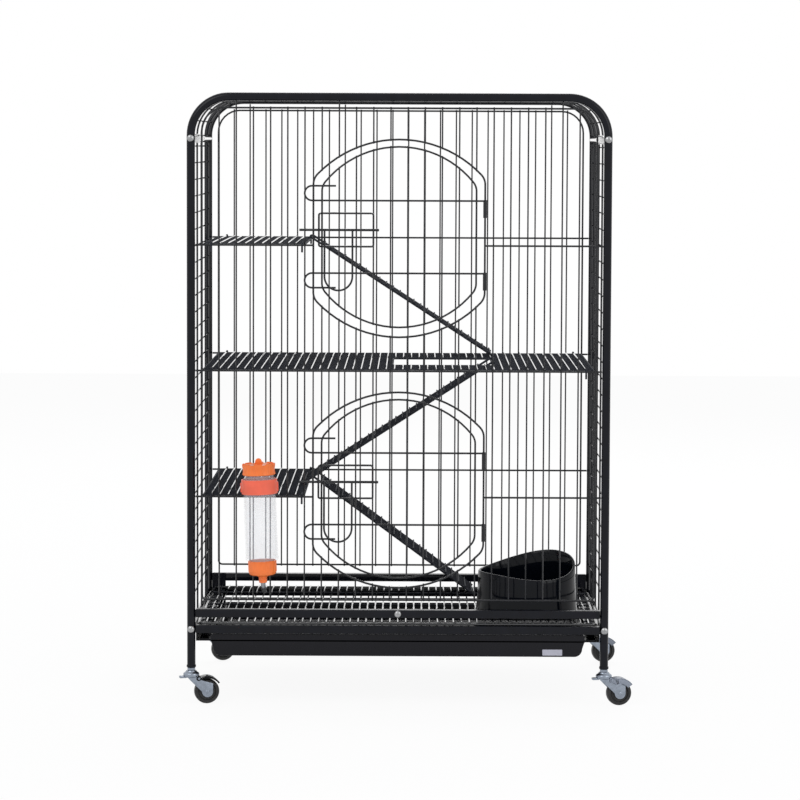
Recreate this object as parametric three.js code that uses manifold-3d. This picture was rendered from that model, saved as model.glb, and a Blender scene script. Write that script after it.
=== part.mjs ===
// A four-level ferret cage on casters: a bent round-tube frame at the front and the back, joined by side
// bars, with welded wire panels between them, two wire doors, decks, ladders, a grate over a tray, a
// drinking bottle and a food bowl. Millimetres, +Z up, front towards -Y, origin on the floor, midway
// between the four legs.
import * as THREE from "three";
import { mergeVertices } from "three/addons/utils/BufferGeometryUtils.js";
import Module from "manifold-3d";

const wasm = await Module();
wasm.setup();

// ---------------------------------------------------------------- driving dimensions

const CAGE_WIDTH = 640; // over the legs
const CAGE_DEPTH = 435; // over the legs
const CAGE_HEIGHT = 927; // floor to the top of the arches

const GAP = 0.3; // between pieces that touch
const WELD = 0.5; // how far welded wires sink into each other

// Frame tubes
const TUBE_DIAMETER = 12.7;
const TUBE_SIDES = 8;
const TUBE_BEND_STEPS = 4;
const ARCH_BEND_RADIUS = 58; // on the centreline
const LEG_FOOT_Z = 56;
const LEG_FLARE = 1; // how much wider the leg's last few millimetres are
const LEG_FLARE_HEIGHT = 4;
const SIDE_BAR_DROP = 69; // below the top of the arches
const LOWER_RAIL_Z = 114.85;
const RAIL_SLOT = 11.8; // free height between the two rails at the base
const RUNNER_WIDTH = 22;
const RUNNER_FOOT_Z = 95.5;
const RUNNER_WALL = 1.2;
const RUNNER_END_HEIGHT = 51; // the runner's upright plate at the back

// Frame screws
const SCREW_HEAD_DIAMETER = 10.6;
const SCREW_HEAD_HEIGHT = 3;
const SCREW_DIAMETER = 4;
const SCREW_REACH = 10; // how far the screw goes into the bar behind the leg
const SCREW_SIDES = 6;

// Wires
const WIRE_DIAMETER = 1.8; // the close upright wires
const BAR_DIAMETER = 2.5; // cross wires and door loops
const EDGE_DIAMETER = 3; // wires round the edge of a panel or a deck
const WIRE_SIDES = 4;
const WIRE_OVERRUN = 2; // how far a wire runs on past the one that it is welded to

// Front and back panels
const PANEL_MARGIN = 10.2; // from the leg to the panel's edge wire
const PANEL_TOP_DROP = 23; // below the top of the arches
const PANEL_FOOT_RISE = 20.65; // over the upper base rail
const PANEL_CORNER = 35;
const PANEL_FOOT_CORNER = 6;
const WIRE_PITCH = 25.83; // of the front panel and the doors
const BACK_WIRE_PITCH = 49.5; // of the back panel and the top grille
const LEVELS = { upper: 0.723, middle: 0.468, lower: 0.211 }; // the cross bars, in panel heights

// Side grilles and top grille
const GRILLE_PITCH = 50.8;
const GRILLE_FOOT_RISE = 38.8; // first wire over the lower side bar's top
const GRILLE_UPRIGHT_INSET = 14; // from the leg's axis to the grille's first upright
const GRILLE_BAYS = 2;

// Doors: a barrel-shaped ring in the front panel, and a loop of the same shape inside it
const DOOR_RISE = 10.5; // from a level's cross bar up to the middle of its door
const RING_BAYS = 10; // wire pitches across a door's ring
const RING_HEIGHT_SHARE = 0.4; // of the panel's height
const RING_CORNER = 22;
const RING_ARCH_RISE = 59;
const DOOR_SIDE_GAP = 13; // between the ring's wire and the door's
const DOOR_TOP_GAP = 11;
const DOOR_FOOT_GAP = 15;
const DOOR_BAR_OFFSETS = [57, -52.2]; // the door's two cross bars, from its centre
const STOP_LENGTH = 13; // how far the bars reach past the ring
const STOP_RADIUS = 11;
const STOP_RETURN = 36; // how far the curled end runs back
const CLIP_HEIGHT = 27;
const CLIP_WALL = 1;
const CLIP_CLEARANCE = 0.35;

// Door latch: a slide bar with a hanging pull, held by a wire guide on the door
const GUIDE_WIDTH = 82;
const GUIDE_HEIGHT = 50;
const GUIDE_LEFT_OVERLAP = 4.5; // how far the guide stands out past the door loop's side
const GUIDE_OFFSET_Z = 12.8; // guide centre over the door's centre
const GUIDE_CORNER = 3;
const LATCH_BAR_DIAMETER = 3;
const LATCH_BAR_REACH = 21; // past the ring's wire
const LATCH_BAR_LENGTH = 118;
const LATCH_KNOB_DIAMETER = 4.6;
const LATCH_KNOB_LENGTH = 4;
const PULL_WIDTH = 42;
const PULL_LENGTH = 91;
const PULL_FROM_LOOP = 4; // from the door loop's side to the pull's first leg

// Decks
const SHELF_WIDTH = 153;
const SHELF_PITCH = 25.5;
const SHELF_CROSS_WIRES = [-100, 100];
const DECK_SIDE_GAP = 17.6; // from the leg's axis to a deck's edge wire
const DECK_CORNER = 8;
const PLATFORM_OPENING = { left: -10, right: 145, front: -93, back: 76 };
const PLATFORM_PITCH = 49.5;
const HOOK_DROP = 14;
const HOOK_LENGTH = 10; // along the deck
const HOOK_INSET = 13; // from the deck's side edge

// Ladders
const LADDER_WIDTH = 105;
const LADDER_WIRE_DIAMETER = 3.5;
const RUNG_DIAMETER = 2.5;
const RUNG_COUNT = 12;
const LADDER_LONG_WIRES = 3; // thin wires along a ladder between its two side wires
const BACK_LADDERS_INSET = 69.65; // from the back legs to the middle of the ladders there
const MIDDLE_LADDER_Y = -7;
const LADDER_TAIL_DEG = 25; // how far the hook runs on below the level
const TOP_LADDER_FOOT_X = 148;
const MIDDLE_LADDER_OVERLAP = 6; // the middle ladder's foot lies this far onto the lower shelf
const BOTTOM_LADDER_FOOT_X = 120;

// Grate and tray
const GRATE_EDGE_DIAMETER = 4;
const GRATE_PITCH = 49.5;
const GRATE_CROSS_WIRES = [0];
const GRATE_SIDE_GAP = 2.8; // to the legs
const GRATE_REAR_GAP = 1;
const TRAY_DEPTH = 24.5;
const TRAY_FASCIA_TOP = 9; // the tray's front wall over its rim
const TRAY_WALL = 1.6;
const TRAY_CORNER = 12;
const TRAY_DRAFT = 4; // how much narrower the tray is at its floor
const TRAY_SIDE_GAP = 0.6; // from the tray's wall to the runner's edge
const TRAY_LIP = 17;
const TRAY_LIP_LIFT = 0.5; // over the runner's lower flange
const TRAY_FRONT_OVERHANG = 2.5; // past the legs' axis

// Casters
const WHEEL_DIAMETER = 38;
const WHEEL_WIDTH = 15;
const WHEEL_SIDES = 14;
const WHEEL_CHAMFER = 1.8;
const AXLE_DIAMETER = 5.2;
const CASTER_TRAIL = 23.5;
const CASTER_TURN_DEG = 12;
const STEM_DIAMETER = 7.8;
const STEM_INSERTION = 25;
const STEM_NUT_DIAMETER = 12;
const STEM_PIVOT_DIAMETER = 6;
const STEM_HEAD_DIAMETER = 10;
const STEM_HEAD_HEIGHT = 2.3;
const CUP_DIAMETER = 24.6;
const CUP_HEIGHT = 10.2;
const CUP_TOP_Z = 51.3;
const FORK_WALL = 1.8;
const FORK_SIDE_GAP = 0.6; // between the wheel and a fork leg
const FORK_HUB_RADIUS = 8.5;
const CROWN_THICKNESS = 2;
const CROWN_REAR = 9; // from the swivel's axis
const CROWN_FRONT = 9.5;
const LUG_LENGTH = 9.5; // the swivel lock's lug behind the crown
const LUG_WIDTH = 8;
const LUG_THICKNESS = 3.5;
const FORK_LEG_REAR = 6; // from the swivel's axis
const FORK_SHOULDER_X = 15; // where the legs' top edge starts to fall
const FORK_SHOULDER_Z = 36.4;
const FORK_NOSE_Z = 31.5; // where the legs' top edge meets the hub's round
const RIVET_REACH = 0.8; // axle and pins past what they hold
const PEDAL_CLEARANCE = 2.2; // over the wheel
const PEDAL_WALL = 1.6;
const PEDAL_PIVOT = { x: 10, z: 39.6 };
const PEDAL_PIN_DIAMETER = 3.6;
const PEDAL_EAR_RADIUS = 3.6;
const PEDAL_FROM_DEG = 112;
const PEDAL_TO_DEG = 36;
const PEDAL_SKIRT = { shallow: 2.6, deep: 8.5 };

// Drinking bottle, hung outside the front panel
const BOTTLE_BAY = 3; // the bottle hangs between these wires, counted from the left
const BOTTLE_LEAN_DEG = 2.2;
const BOTTLE_LEAN_Z = 280;
const BOTTLE_FROM_PANEL = 29.8; // bottle's axis to the panel's axis plane
const BOTTLE_DIAMETER = 50;
const BOTTLE_WALL = 1.5;
const BOTTLE_FOOT_Z = 224;
const BOTTLE_SHOULDER_Z = 349;
const BOTTLE_NECK_DIAMETER = 45;
const BOTTLE_NECK_HEIGHT = 17;
const BOTTLE_LOWER_NECK_DIAMETER = 38.6;
const BOTTLE_LOWER_NECK_HEIGHT = 18;
const BOTTLE_SIDES = 12;
const TOP_CAP_DIAMETER = 49;
const TOP_CAP_HEIGHT = 15.5;
const TOP_CAP_RIM = 2;
const TAB_WIDTH = 13;
const TAB_HEIGHT = 9;
const TAB_THICKNESS = 3;
const BAND_Z = 325;
const BAND_HEIGHT = 22;
const BAND_WALL = 1.8;
const BAND_EAR_WIDTH = 57;
const BAND_EAR_DEPTH = 8;
const BAND_CLIP_WIDTH = 20;
const BAND_EAR_FOOT = 3; // over the band's foot
const BAND_EAR_HEAD = 5; // under its top
const BAND_CLIP_EDGE = 2;
const BOTTOM_CAP_DIAMETER = 42;
const BOTTOM_CAP_FLOOR = 4;
const BOTTOM_CAP_SHOULDER = [4, 3, 2]; // in from the side, over and under the cap's inner floor
const SPOUT_DIAMETER = 7.2;
const SPOUT_NECK_DIAMETER = 12.2;
const SPOUT_NECK_HEIGHT = 12;
const SPOUT_REACH = 35;
const SPOUT_DROP = 11;
const SPOUT_BEND = [[0, 1], [1.2, 4], [4, 5.6]]; // into the cage and down, from the neck's foot
const SPOUT_SIDES = 8;

// Food bowl
const BOWL_FROM_RIGHT = 115.65; // from the right legs to the bowl's middle
const BOWL_FROM_FRONT = 79.15;
const BOWL_WIDTH = 160;
const BOWL_DEPTH = 131;
const BOWL_HEIGHT = 75.5; // at the rim's mean height
const BOWL_TILT = 14.8; // how much higher the rim stands at its high side
const BOWL_TILT_DEG = 68; // the high side, counted from +X
const BOWL_TWIST = 6.3; // how much the rim dips and rises besides, twice round
const BOWL_RIM_INSET = 5.5; // how much the bowl narrows from its foot to its rim
const BOWL_FOOT_EDGE = 4;
const BOWL_FLARE_HEIGHT = 16;
const BOWL_WALL = 4;
const BOWL_FLOOR = 6;
const BOWL_FLOOR_ROUND = 9; // the round between its wall and its floor
const BOWL_SIDES = 18;

// ---------------------------------------------------------------- places worked out from them

const TUBE_R = TUBE_DIAMETER / 2;
const WIRE_R = WIRE_DIAMETER / 2;
const BAR_R = BAR_DIAMETER / 2;
const EDGE_R = EDGE_DIAMETER / 2;
const LEG_X = CAGE_WIDTH / 2 - TUBE_R;
const LEG_Y = CAGE_DEPTH / 2 - TUBE_R;
const INNER_X = LEG_X - TUBE_R - GAP; // what fits between a frame's legs ends here
const INNER_Y = LEG_Y - TUBE_R - GAP; // what fits between the two frames ends here
const ARCH_BEND_Z = CAGE_HEIGHT - TUBE_R - ARCH_BEND_RADIUS; // where the legs' bends start
const ARCH_BEND_X = LEG_X - ARCH_BEND_RADIUS;
const SIDE_BAR_Z = CAGE_HEIGHT - SIDE_BAR_DROP;
const UPPER_RAIL_Z = LOWER_RAIL_Z + TUBE_DIAMETER + RAIL_SLOT;
const PANEL_HALF = LEG_X - TUBE_R - PANEL_MARGIN;
const PANEL_TOP_Z = CAGE_HEIGHT - PANEL_TOP_DROP;
const PANEL_FOOT_Z = UPPER_RAIL_Z + PANEL_FOOT_RISE;
const PANEL_HEIGHT = PANEL_TOP_Z - PANEL_FOOT_Z;
const UPPER_BAR_Z = PANEL_FOOT_Z + LEVELS.upper * PANEL_HEIGHT;
const MIDDLE_BAR_Z = PANEL_FOOT_Z + LEVELS.middle * PANEL_HEIGHT;
const LOWER_BAR_Z = PANEL_FOOT_Z + LEVELS.lower * PANEL_HEIGHT;
const WELDED = BAR_R + WIRE_R - WELD; // between the axes of a bar and of a wire welded across it
const FRONT_BAYS = 2 * Math.round(PANEL_HALF / WIRE_PITCH - 0.5) + 1; // odd, so that a bay is in the middle
const FRONT_PITCH = (2 * PANEL_HALF) / FRONT_BAYS;
const HUNG_WIRES = [2, 8, FRONT_BAYS - 2]; // the front wires that run up to the arch
const RING_HALF = (RING_BAYS * FRONT_PITCH) / 2;
const RING_HEIGHT = RING_HEIGHT_SHARE * PANEL_HEIGHT;
const RING_R = BAR_R + 0.05;
const DOOR_CENTRES_Z = { upper: UPPER_BAR_Z + DOOR_RISE, lower: LOWER_BAR_Z + DOOR_RISE };

// ---------------------------------------------------------------- shape helpers

/** A closed manifold from a three.js geometry: shared vertices merged, flat faces dropped, facing out. */
function solid(geometry) {
  const bare = new THREE.BufferGeometry();
  bare.setAttribute("position", geometry.getAttribute("position"));
  if (geometry.index) bare.setIndex(geometry.index);
  const merged = mergeVertices(bare, 1e-4);
  const index = merged.index.array;
  const faces = [];
  for (let i = 0; i < index.length; i += 3) {
    const [a, b, c] = [index[i], index[i + 1], index[i + 2]];
    if (a !== b && b !== c && c !== a) faces.push([a, b, c]);
  }
  const position = merged.getAttribute("position");
  const corner = (i) => new THREE.Vector3().fromBufferAttribute(position, i);
  let volume = 0;
  for (const [a, b, c] of faces) volume += corner(a).dot(corner(b).cross(corner(c)));
  const turned = volume < 0 ? faces.map(([a, b, c]) => [a, c, b]) : faces;
  return new wasm.Manifold(
    new wasm.Mesh({
      numProp: 3,
      vertProperties: new Float32Array(position.array),
      triVerts: new Uint32Array(turned.flat()),
    }),
  );
}

/** One solid from several that overlap. */
const join = (solids) => solids.reduce((all, one) => all.add(one));

const v3 = (x, y, z) => new THREE.Vector3(x, y, z);

/** A straight round bar of few sides from a to b, its ridges towards the row's axes. */
function bar(a, b, radius, sides = WIRE_SIDES) {
  const along = b.clone().sub(a);
  const geometry = new THREE.CylinderGeometry(radius, radius, along.length(), sides, 1);
  geometry.applyQuaternion(new THREE.Quaternion().setFromUnitVectors(v3(0, 1, 0), along.normalize()));
  const middle = a.clone().add(b).multiplyScalar(0.5);
  return solid(geometry.translate(middle.x, middle.y, middle.z));
}

/** A curve that an extrusion follows point by point, with its turns shared between the two sides. */
class Route extends THREE.Curve {
  constructor(points, closed = false) {
    super();
    this.points = closed ? [...points, points[0]] : points;
    this.closed = closed;
  }

  getPointAt(u, target = new THREE.Vector3()) {
    return target.copy(this.points[Math.round(u * (this.points.length - 1))]);
  }

  getTangentAt(u, target = new THREE.Vector3()) {
    const last = this.points.length - 1;
    const i = Math.round(u * last);
    const atEnd = i === 0 || i === last;
    const before = i > 0 ? i - 1 : this.closed ? last - 1 : 0;
    const after = i < last ? i + 1 : this.closed ? 1 : last;
    const here = this.points[i];
    if (atEnd && !this.closed) {
      return target.copy(this.points[after]).sub(this.points[before]).normalize();
    }
    const arriving = here.clone().sub(this.points[before]).normalize();
    const leaving = this.points[after].clone().sub(here).normalize();
    return target.copy(arriving.add(leaving)).normalize();
  }

  getPoint(t, target) {
    return this.getPointAt(t, target);
  }
}

/** A round wire or tube of few sides along points; a closed one keeps only the walls. */
function pipe(points, radius, { sides = WIRE_SIDES, closed = false } = {}) {
  const route = new Route(points, closed);
  const section = new THREE.Shape(
    Array.from({ length: sides }, (_, k) => {
      const angle = (2 * Math.PI * k) / sides;
      return new THREE.Vector2(radius * Math.cos(angle), radius * Math.sin(angle));
    }),
  );
  const steps = route.points.length - 1;
  const geometry = new THREE.ExtrudeGeometry(section, { steps, extrudePath: route, bevelEnabled: false });
  if (!closed) return solid(geometry);
  const walls = geometry.groups.find((group) => group.materialIndex === 1);
  const position = geometry.getAttribute("position").array;
  const open = new THREE.BufferGeometry();
  const part = position.slice(walls.start * 3, (walls.start + walls.count) * 3);
  open.setAttribute("position", new THREE.BufferAttribute(part, 3));
  return solid(open);
}

/** Points [u, v] on an arc, both ends included. */
function arc(centreU, centreV, radius, fromDeg, toDeg, steps) {
  return Array.from({ length: steps + 1 }, (_, i) => {
    const angle = THREE.MathUtils.degToRad(fromDeg + ((toDeg - fromDeg) * i) / steps);
    return [centreU + radius * Math.cos(angle), centreV + radius * Math.sin(angle)];
  });
}

/** A closed outline [u, v] with round corners, anticlockwise from the lower right. */
function roundedOutline(low, high, footRadius, topRadius, steps) {
  const [u0, v0] = low;
  const [u1, v1] = high;
  return [
    ...arc(u1 - footRadius, v0 + footRadius, footRadius, -90, 0, steps),
    ...arc(u1 - topRadius, v1 - topRadius, topRadius, 0, 90, steps),
    ...arc(u0 + topRadius, v1 - topRadius, topRadius, 90, 180, steps),
    ...arc(u0 + footRadius, v0 + footRadius, footRadius, 180, 270, steps),
  ];
}

const inXZ = (y) => ([u, v]) => v3(u, y, v);
const inYZ = (x) => ([u, v]) => v3(x, u, v);
const inXY = (z) => ([u, v]) => v3(u, v, z);

/** A body of revolution about the Z axis from its profile [radius, z]; closed profiles make rings. */
function turned(profile, sides, closed = false) {
  const points = profile.map(([r, z]) => new THREE.Vector2(r, z));
  if (closed) points.push(points[0].clone());
  return solid(new THREE.LatheGeometry(points, sides).rotateX(Math.PI / 2));
}

/** A plate from its outline [x, z], from y0 to y1, with an optional hole. */
function plateXZ(outline, y0, y1, hole) {
  const shape = new THREE.Shape(outline.map(([x, z]) => new THREE.Vector2(x, z)));
  if (hole) shape.holes.push(new THREE.Path(hole.map(([x, z]) => new THREE.Vector2(x, z))));
  const geometry = new THREE.ExtrudeGeometry(shape, { depth: y1 - y0, bevelEnabled: false });
  return solid(geometry.rotateX(Math.PI / 2).translate(0, y1, 0));
}

function box(x0, x1, y0, y1, z0, z1) {
  const geometry = new THREE.BoxGeometry(x1 - x0, y1 - y0, z1 - z0);
  return solid(geometry.translate((x0 + x1) / 2, (y0 + y1) / 2, (z0 + z1) / 2));
}

const PAINT = { color: 0x17181c, roughness: 0.32, metalness: 0.3 };
const WIRE_PAINT = { color: 0x1b1b1f, roughness: 0.4, metalness: 0.3 };
const ZINC = { color: 0xb9c0c4, roughness: 0.3, metalness: 0.9 };
const SILVER = { color: 0xc8c9c6, roughness: 0.28, metalness: 0.9 };
const RUBBER = { color: 0x1f2024, roughness: 0.6, metalness: 0 };
const GREY_PLASTIC = { color: 0x9aa0ab, roughness: 0.5, metalness: 0.1 };
const BLACK_PLASTIC = { color: 0x131418, roughness: 0.3, metalness: 0 };
const ORANGE = { color: 0xff6a1f, roughness: 0.45, metalness: 0 };
const RED_ORANGE = { color: 0xf2583c, roughness: 0.45, metalness: 0 };
const CLEAR = { color: 0xeef2f6, roughness: 0.08, metalness: 0, transparent: true, opacity: 0.35 };
const SPOUT_STEEL = { color: 0x3c3f44, roughness: 0.3, metalness: 0.9 };

const cage = new THREE.Group();

/** Puts a named piece of one finish in a group. */
function piece(name, manifold, finish, parent = cage) {
  const mesh = manifold.getMesh();
  const geometry = new THREE.BufferGeometry();
  geometry.setAttribute("position", new THREE.BufferAttribute(mesh.vertProperties, 3));
  geometry.setIndex(new THREE.BufferAttribute(mesh.triVerts, 1));
  geometry.computeVertexNormals();
  const made = new THREE.Mesh(geometry, new THREE.MeshStandardMaterial(finish));
  made.name = name;
  parent.add(made);
}

const FACES = { front: -1, back: 1 };
const SIDES = { left: -1, right: 1 };

// ---------------------------------------------------------------- frame

/** One bent tube: two legs and the arch between them, bored for the caster stems and the screws. */
function archTube(face) {
  const outline = [
    [LEG_X, LEG_FOOT_Z],
    ...arc(ARCH_BEND_X, ARCH_BEND_Z, ARCH_BEND_RADIUS, 0, 90, TUBE_BEND_STEPS),
    ...arc(-ARCH_BEND_X, ARCH_BEND_Z, ARCH_BEND_RADIUS, 90, 180, TUBE_BEND_STEPS),
    [-LEG_X, LEG_FOOT_Z],
  ];
  let tube = pipe(outline.map(inXZ(face * LEG_Y)), TUBE_R, { sides: TUBE_SIDES });
  for (const x of [-LEG_X, LEG_X]) {
    const foot = v3(x, face * LEG_Y, LEG_FOOT_Z);
    const flareTop = foot.clone().setZ(LEG_FOOT_Z + LEG_FLARE_HEIGHT);
    tube = tube.add(bar(foot, flareTop, TUBE_R + LEG_FLARE, TUBE_SIDES));
    const boreTop = foot.clone().setZ(LEG_FOOT_Z + STEM_INSERTION + GAP);
    tube = tube.subtract(bar(foot.clone().setZ(LEG_FOOT_Z - 1), boreTop, STEM_DIAMETER / 2 + GAP, 8));
    for (const z of [SIDE_BAR_Z, LOWER_RAIL_Z]) tube = tube.subtract(screwHole(x, face, z, TUBE_DIAMETER));
  }
  return tube;
}

/** The hole for a frame screw that comes in from outside the frame, as deep as asked for. */
function screwHole(x, face, z, depth) {
  const outside = face * (LEG_Y + TUBE_R + 1);
  const inside = face * (LEG_Y + TUBE_R - depth - 1);
  return bar(v3(x, outside, z), v3(x, inside, z), SCREW_DIAMETER / 2 + GAP, 6);
}

/** A dome-headed screw whose shank runs inwards from the outside of the frame. */
function screw(x, face, z, length) {
  const head = SCREW_HEAD_DIAMETER / 2;
  const profile = [
    [0, -length],
    [SCREW_DIAMETER / 2, -length],
    [SCREW_DIAMETER / 2, 0],
    [head, 0],
    [head, SCREW_HEAD_HEIGHT * 0.4],
    [head * 0.62, SCREW_HEAD_HEIGHT],
    [0, SCREW_HEAD_HEIGHT],
  ];
  const made = turned(profile, SCREW_SIDES);
  const outwards = face < 0 ? made.rotate([90, 0, 0]) : made.rotate([-90, 0, 0]);
  return outwards.translate([x, face * (LEG_Y + TUBE_R + GAP), z]);
}

/** A straight bar along the side of the cage, its ends bored for the frame screws. */
function sideBar(side, z) {
  const x = side * LEG_X;
  let made = bar(v3(x, -INNER_Y, z), v3(x, INNER_Y, z), TUBE_R, TUBE_SIDES);
  for (const face of Object.values(FACES)) {
    made = made.subtract(screwHole(x, face, z, TUBE_DIAMETER + SCREW_REACH + 1));
  }
  return made;
}

/** The channel inside a lower side bar: the tray hangs on its lower flange, the grate lies on its top. */
function baseRunner(side) {
  const [out, inner] = [INNER_X, INNER_X - RUNNER_WIDTH];
  const top = LOWER_RAIL_Z + TUBE_R;
  const channel = [
    [out, RUNNER_FOOT_Z],
    [out, top],
    [inner, top],
    [inner, top - RUNNER_WALL],
    [out - RUNNER_WALL, top - RUNNER_WALL],
    [out - RUNNER_WALL, RUNNER_FOOT_Z + RUNNER_WALL],
    [inner, RUNNER_FOOT_Z + RUNNER_WALL],
    [inner, RUNNER_FOOT_Z],
  ].map(([x, z]) => [side * x, z]);
  const [x0, x1] = side < 0 ? [-out, -inner] : [inner, out];
  const endTop = RUNNER_FOOT_Z + RUNNER_END_HEIGHT;
  const end = box(x0, x1, INNER_Y - RUNNER_WALL, INNER_Y, RUNNER_FOOT_Z, endTop);
  return plateXZ(channel, -INNER_Y, INNER_Y, null).add(end);
}

for (const [faceName, face] of Object.entries(FACES)) {
  piece(`${faceName}_frame_tube`, archTube(face), PAINT);
  for (const [railName, z] of [["upper", UPPER_RAIL_Z], ["lower", LOWER_RAIL_Z]]) {
    const y = face * LEG_Y;
    let rail = bar(v3(-INNER_X, y, z), v3(INNER_X, y, z), TUBE_R, TUBE_SIDES);
    if (face < 0 && railName === "upper") {
      rail = rail.subtract(screwHole(0, face, z, SCREW_REACH));
      piece("front_rail_screw", screw(0, face, z, SCREW_REACH), SILVER);
    }
    piece(`${faceName}_${railName}_rail`, rail, PAINT);
  }
  for (const [sideName, side] of Object.entries(SIDES)) {
    for (const [screwName, z] of [["upper", SIDE_BAR_Z], ["lower", LOWER_RAIL_Z]]) {
      const made = screw(side * LEG_X, face, z, TUBE_DIAMETER + SCREW_REACH);
      piece(`${faceName}_${sideName}_${screwName}_screw`, made, SILVER);
    }
  }
}
for (const [sideName, side] of Object.entries(SIDES)) {
  piece(`${sideName}_upper_bar`, sideBar(side, SIDE_BAR_Z), PAINT);
  piece(`${sideName}_lower_bar`, sideBar(side, LOWER_RAIL_Z), PAINT);
  piece(`${sideName}_base_runner`, baseRunner(side), PAINT);
}

// ---------------------------------------------------------------- wire panels

/** A barrel outline: straight sides, arched ends, small round corners. Gives points and its own height. */
function barrel(half, low, high) {
  const rise = RING_ARCH_RISE;
  const radius = (half * half + rise * rise) / (2 * rise);
  const fillet = Math.min(RING_CORNER, half / 2);
  const middle = (low + high) / 2;
  const arcZ = high - radius;
  const filletX = half - fillet;
  const filletZ = arcZ + Math.sqrt((radius - fillet) ** 2 - filletX ** 2);
  const turn = THREE.MathUtils.radToDeg(Math.atan2(filletZ - arcZ, filletX));
  const top = [
    ...arc(filletX, filletZ, fillet, 0, turn, 2),
    ...arc(0, arcZ, radius, turn, 180 - turn, 6).slice(1, -1),
    ...arc(-filletX, filletZ, fillet, 180 - turn, 180, 2),
  ];
  const foot = top.map(([x, z]) => [-x, 2 * middle - z]);
  const topAt = (x) => {
    const reach = Math.abs(x);
    if (reach <= filletX + fillet * Math.cos(THREE.MathUtils.degToRad(turn))) {
      return arcZ + Math.sqrt(radius ** 2 - x ** 2);
    }
    return filletZ + Math.sqrt(fillet ** 2 - (reach - filletX) ** 2);
  };
  return { points: [...top, ...foot], topAt, footAt: (x) => 2 * middle - topAt(x), low, high };
}

const rings = Object.values(DOOR_CENTRES_Z).map((z) =>
  barrel(RING_HALF, z - RING_HEIGHT / 2, z + RING_HEIGHT / 2),
);

/** Even places from -half to half, about a pitch apart. */
function places(half, pitch) {
  const bays = Math.round((2 * half) / pitch);
  return Array.from({ length: bays + 1 }, (_, i) => -half + (2 * half * i) / bays);
}

const frontWireXs = places(PANEL_HALF, FRONT_PITCH);
const backWireXs = places(PANEL_HALF, BACK_WIRE_PITCH);

/** An end panel: an edge wire, close upright wires inside it, cross bars from leg to leg. */
function endPanel(face, wireXs, hung, openings) {
  const y = face * LEG_Y;
  const wireY = y - face * WELDED;
  const low = [-PANEL_HALF, PANEL_FOOT_Z];
  const high = [PANEL_HALF, PANEL_TOP_Z];
  const edge = roundedOutline(low, high, PANEL_FOOT_CORNER, PANEL_CORNER, 3);
  const parts = [pipe(edge.map(inXZ(y)), EDGE_R, { closed: true })];
  for (const ring of openings) parts.push(pipe(ring.points.map(inXZ(y)), RING_R, { closed: true }));
  for (const [i, x] of wireXs.entries()) {
    if (i === 0 || i === wireXs.length - 1) continue; // the edge wire runs there
    const top = hung.includes(i) ? CAGE_HEIGHT - TUBE_DIAMETER - GAP : PANEL_TOP_Z + WIRE_OVERRUN;
    let from = PANEL_FOOT_Z - WIRE_OVERRUN;
    if (Math.abs(x) < RING_HALF - WIRE_DIAMETER) {
      for (const ring of [...openings].sort((a, b) => a.low - b.low)) {
        parts.push(bar(v3(x, wireY, from), v3(x, wireY, ring.footAt(x) + WIRE_OVERRUN), WIRE_R));
        from = ring.topAt(x) - WIRE_OVERRUN;
      }
    }
    parts.push(bar(v3(x, wireY, from), v3(x, wireY, top), WIRE_R));
  }
  for (const z of [UPPER_BAR_Z, MIDDLE_BAR_Z, LOWER_BAR_Z]) {
    if (openings.some((ring) => ring.low < z && z < ring.high)) {
      for (const side of [-1, 1]) {
        parts.push(bar(v3(side * INNER_X, y, z), v3(side * RING_HALF, y, z), BAR_R));
      }
    } else {
      parts.push(bar(v3(-INNER_X, y, z), v3(INNER_X, y, z), BAR_R));
    }
  }
  return join(parts);
}

piece("front_panel", endPanel(FACES.front, frontWireXs, HUNG_WIRES, rings), WIRE_PAINT);
piece("back_panel", endPanel(FACES.back, backWireXs, [], []), WIRE_PAINT);

/** The Y places of a grille's uprights, also those of the top grille's wires round the arch. */
const uprightReach = LEG_Y - GRILLE_UPRIGHT_INSET;
const uprightYs = places(uprightReach, (2 * uprightReach) / GRILLE_BAYS);

/** A side grille: wires from frame to frame, welded to a few uprights between the side bars. */
function sideGrille(side) {
  const x = side * LEG_X;
  const uprightX = x - side * WELDED;
  const foot = LOWER_RAIL_Z + TUBE_R + GAP;
  const top = SIDE_BAR_Z - TUBE_R - GAP;
  const uprights = uprightYs.map((y) => bar(v3(uprightX, y, foot), v3(uprightX, y, top), BAR_R));
  const firstZ = foot + GRILLE_FOOT_RISE;
  const rows = Math.floor((top - BAR_R - firstZ) / GRILLE_PITCH);
  const wires = Array.from({ length: rows + 1 }, (_, i) => {
    const z = firstZ + i * GRILLE_PITCH;
    return bar(v3(x, -INNER_Y, z), v3(x, INNER_Y, z), WIRE_R);
  });
  return join([...uprights, ...wires]);
}

for (const [sideName, side] of Object.entries(SIDES)) {
  piece(`${sideName}_grille`, sideGrille(side), WIRE_PAINT);
}

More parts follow.
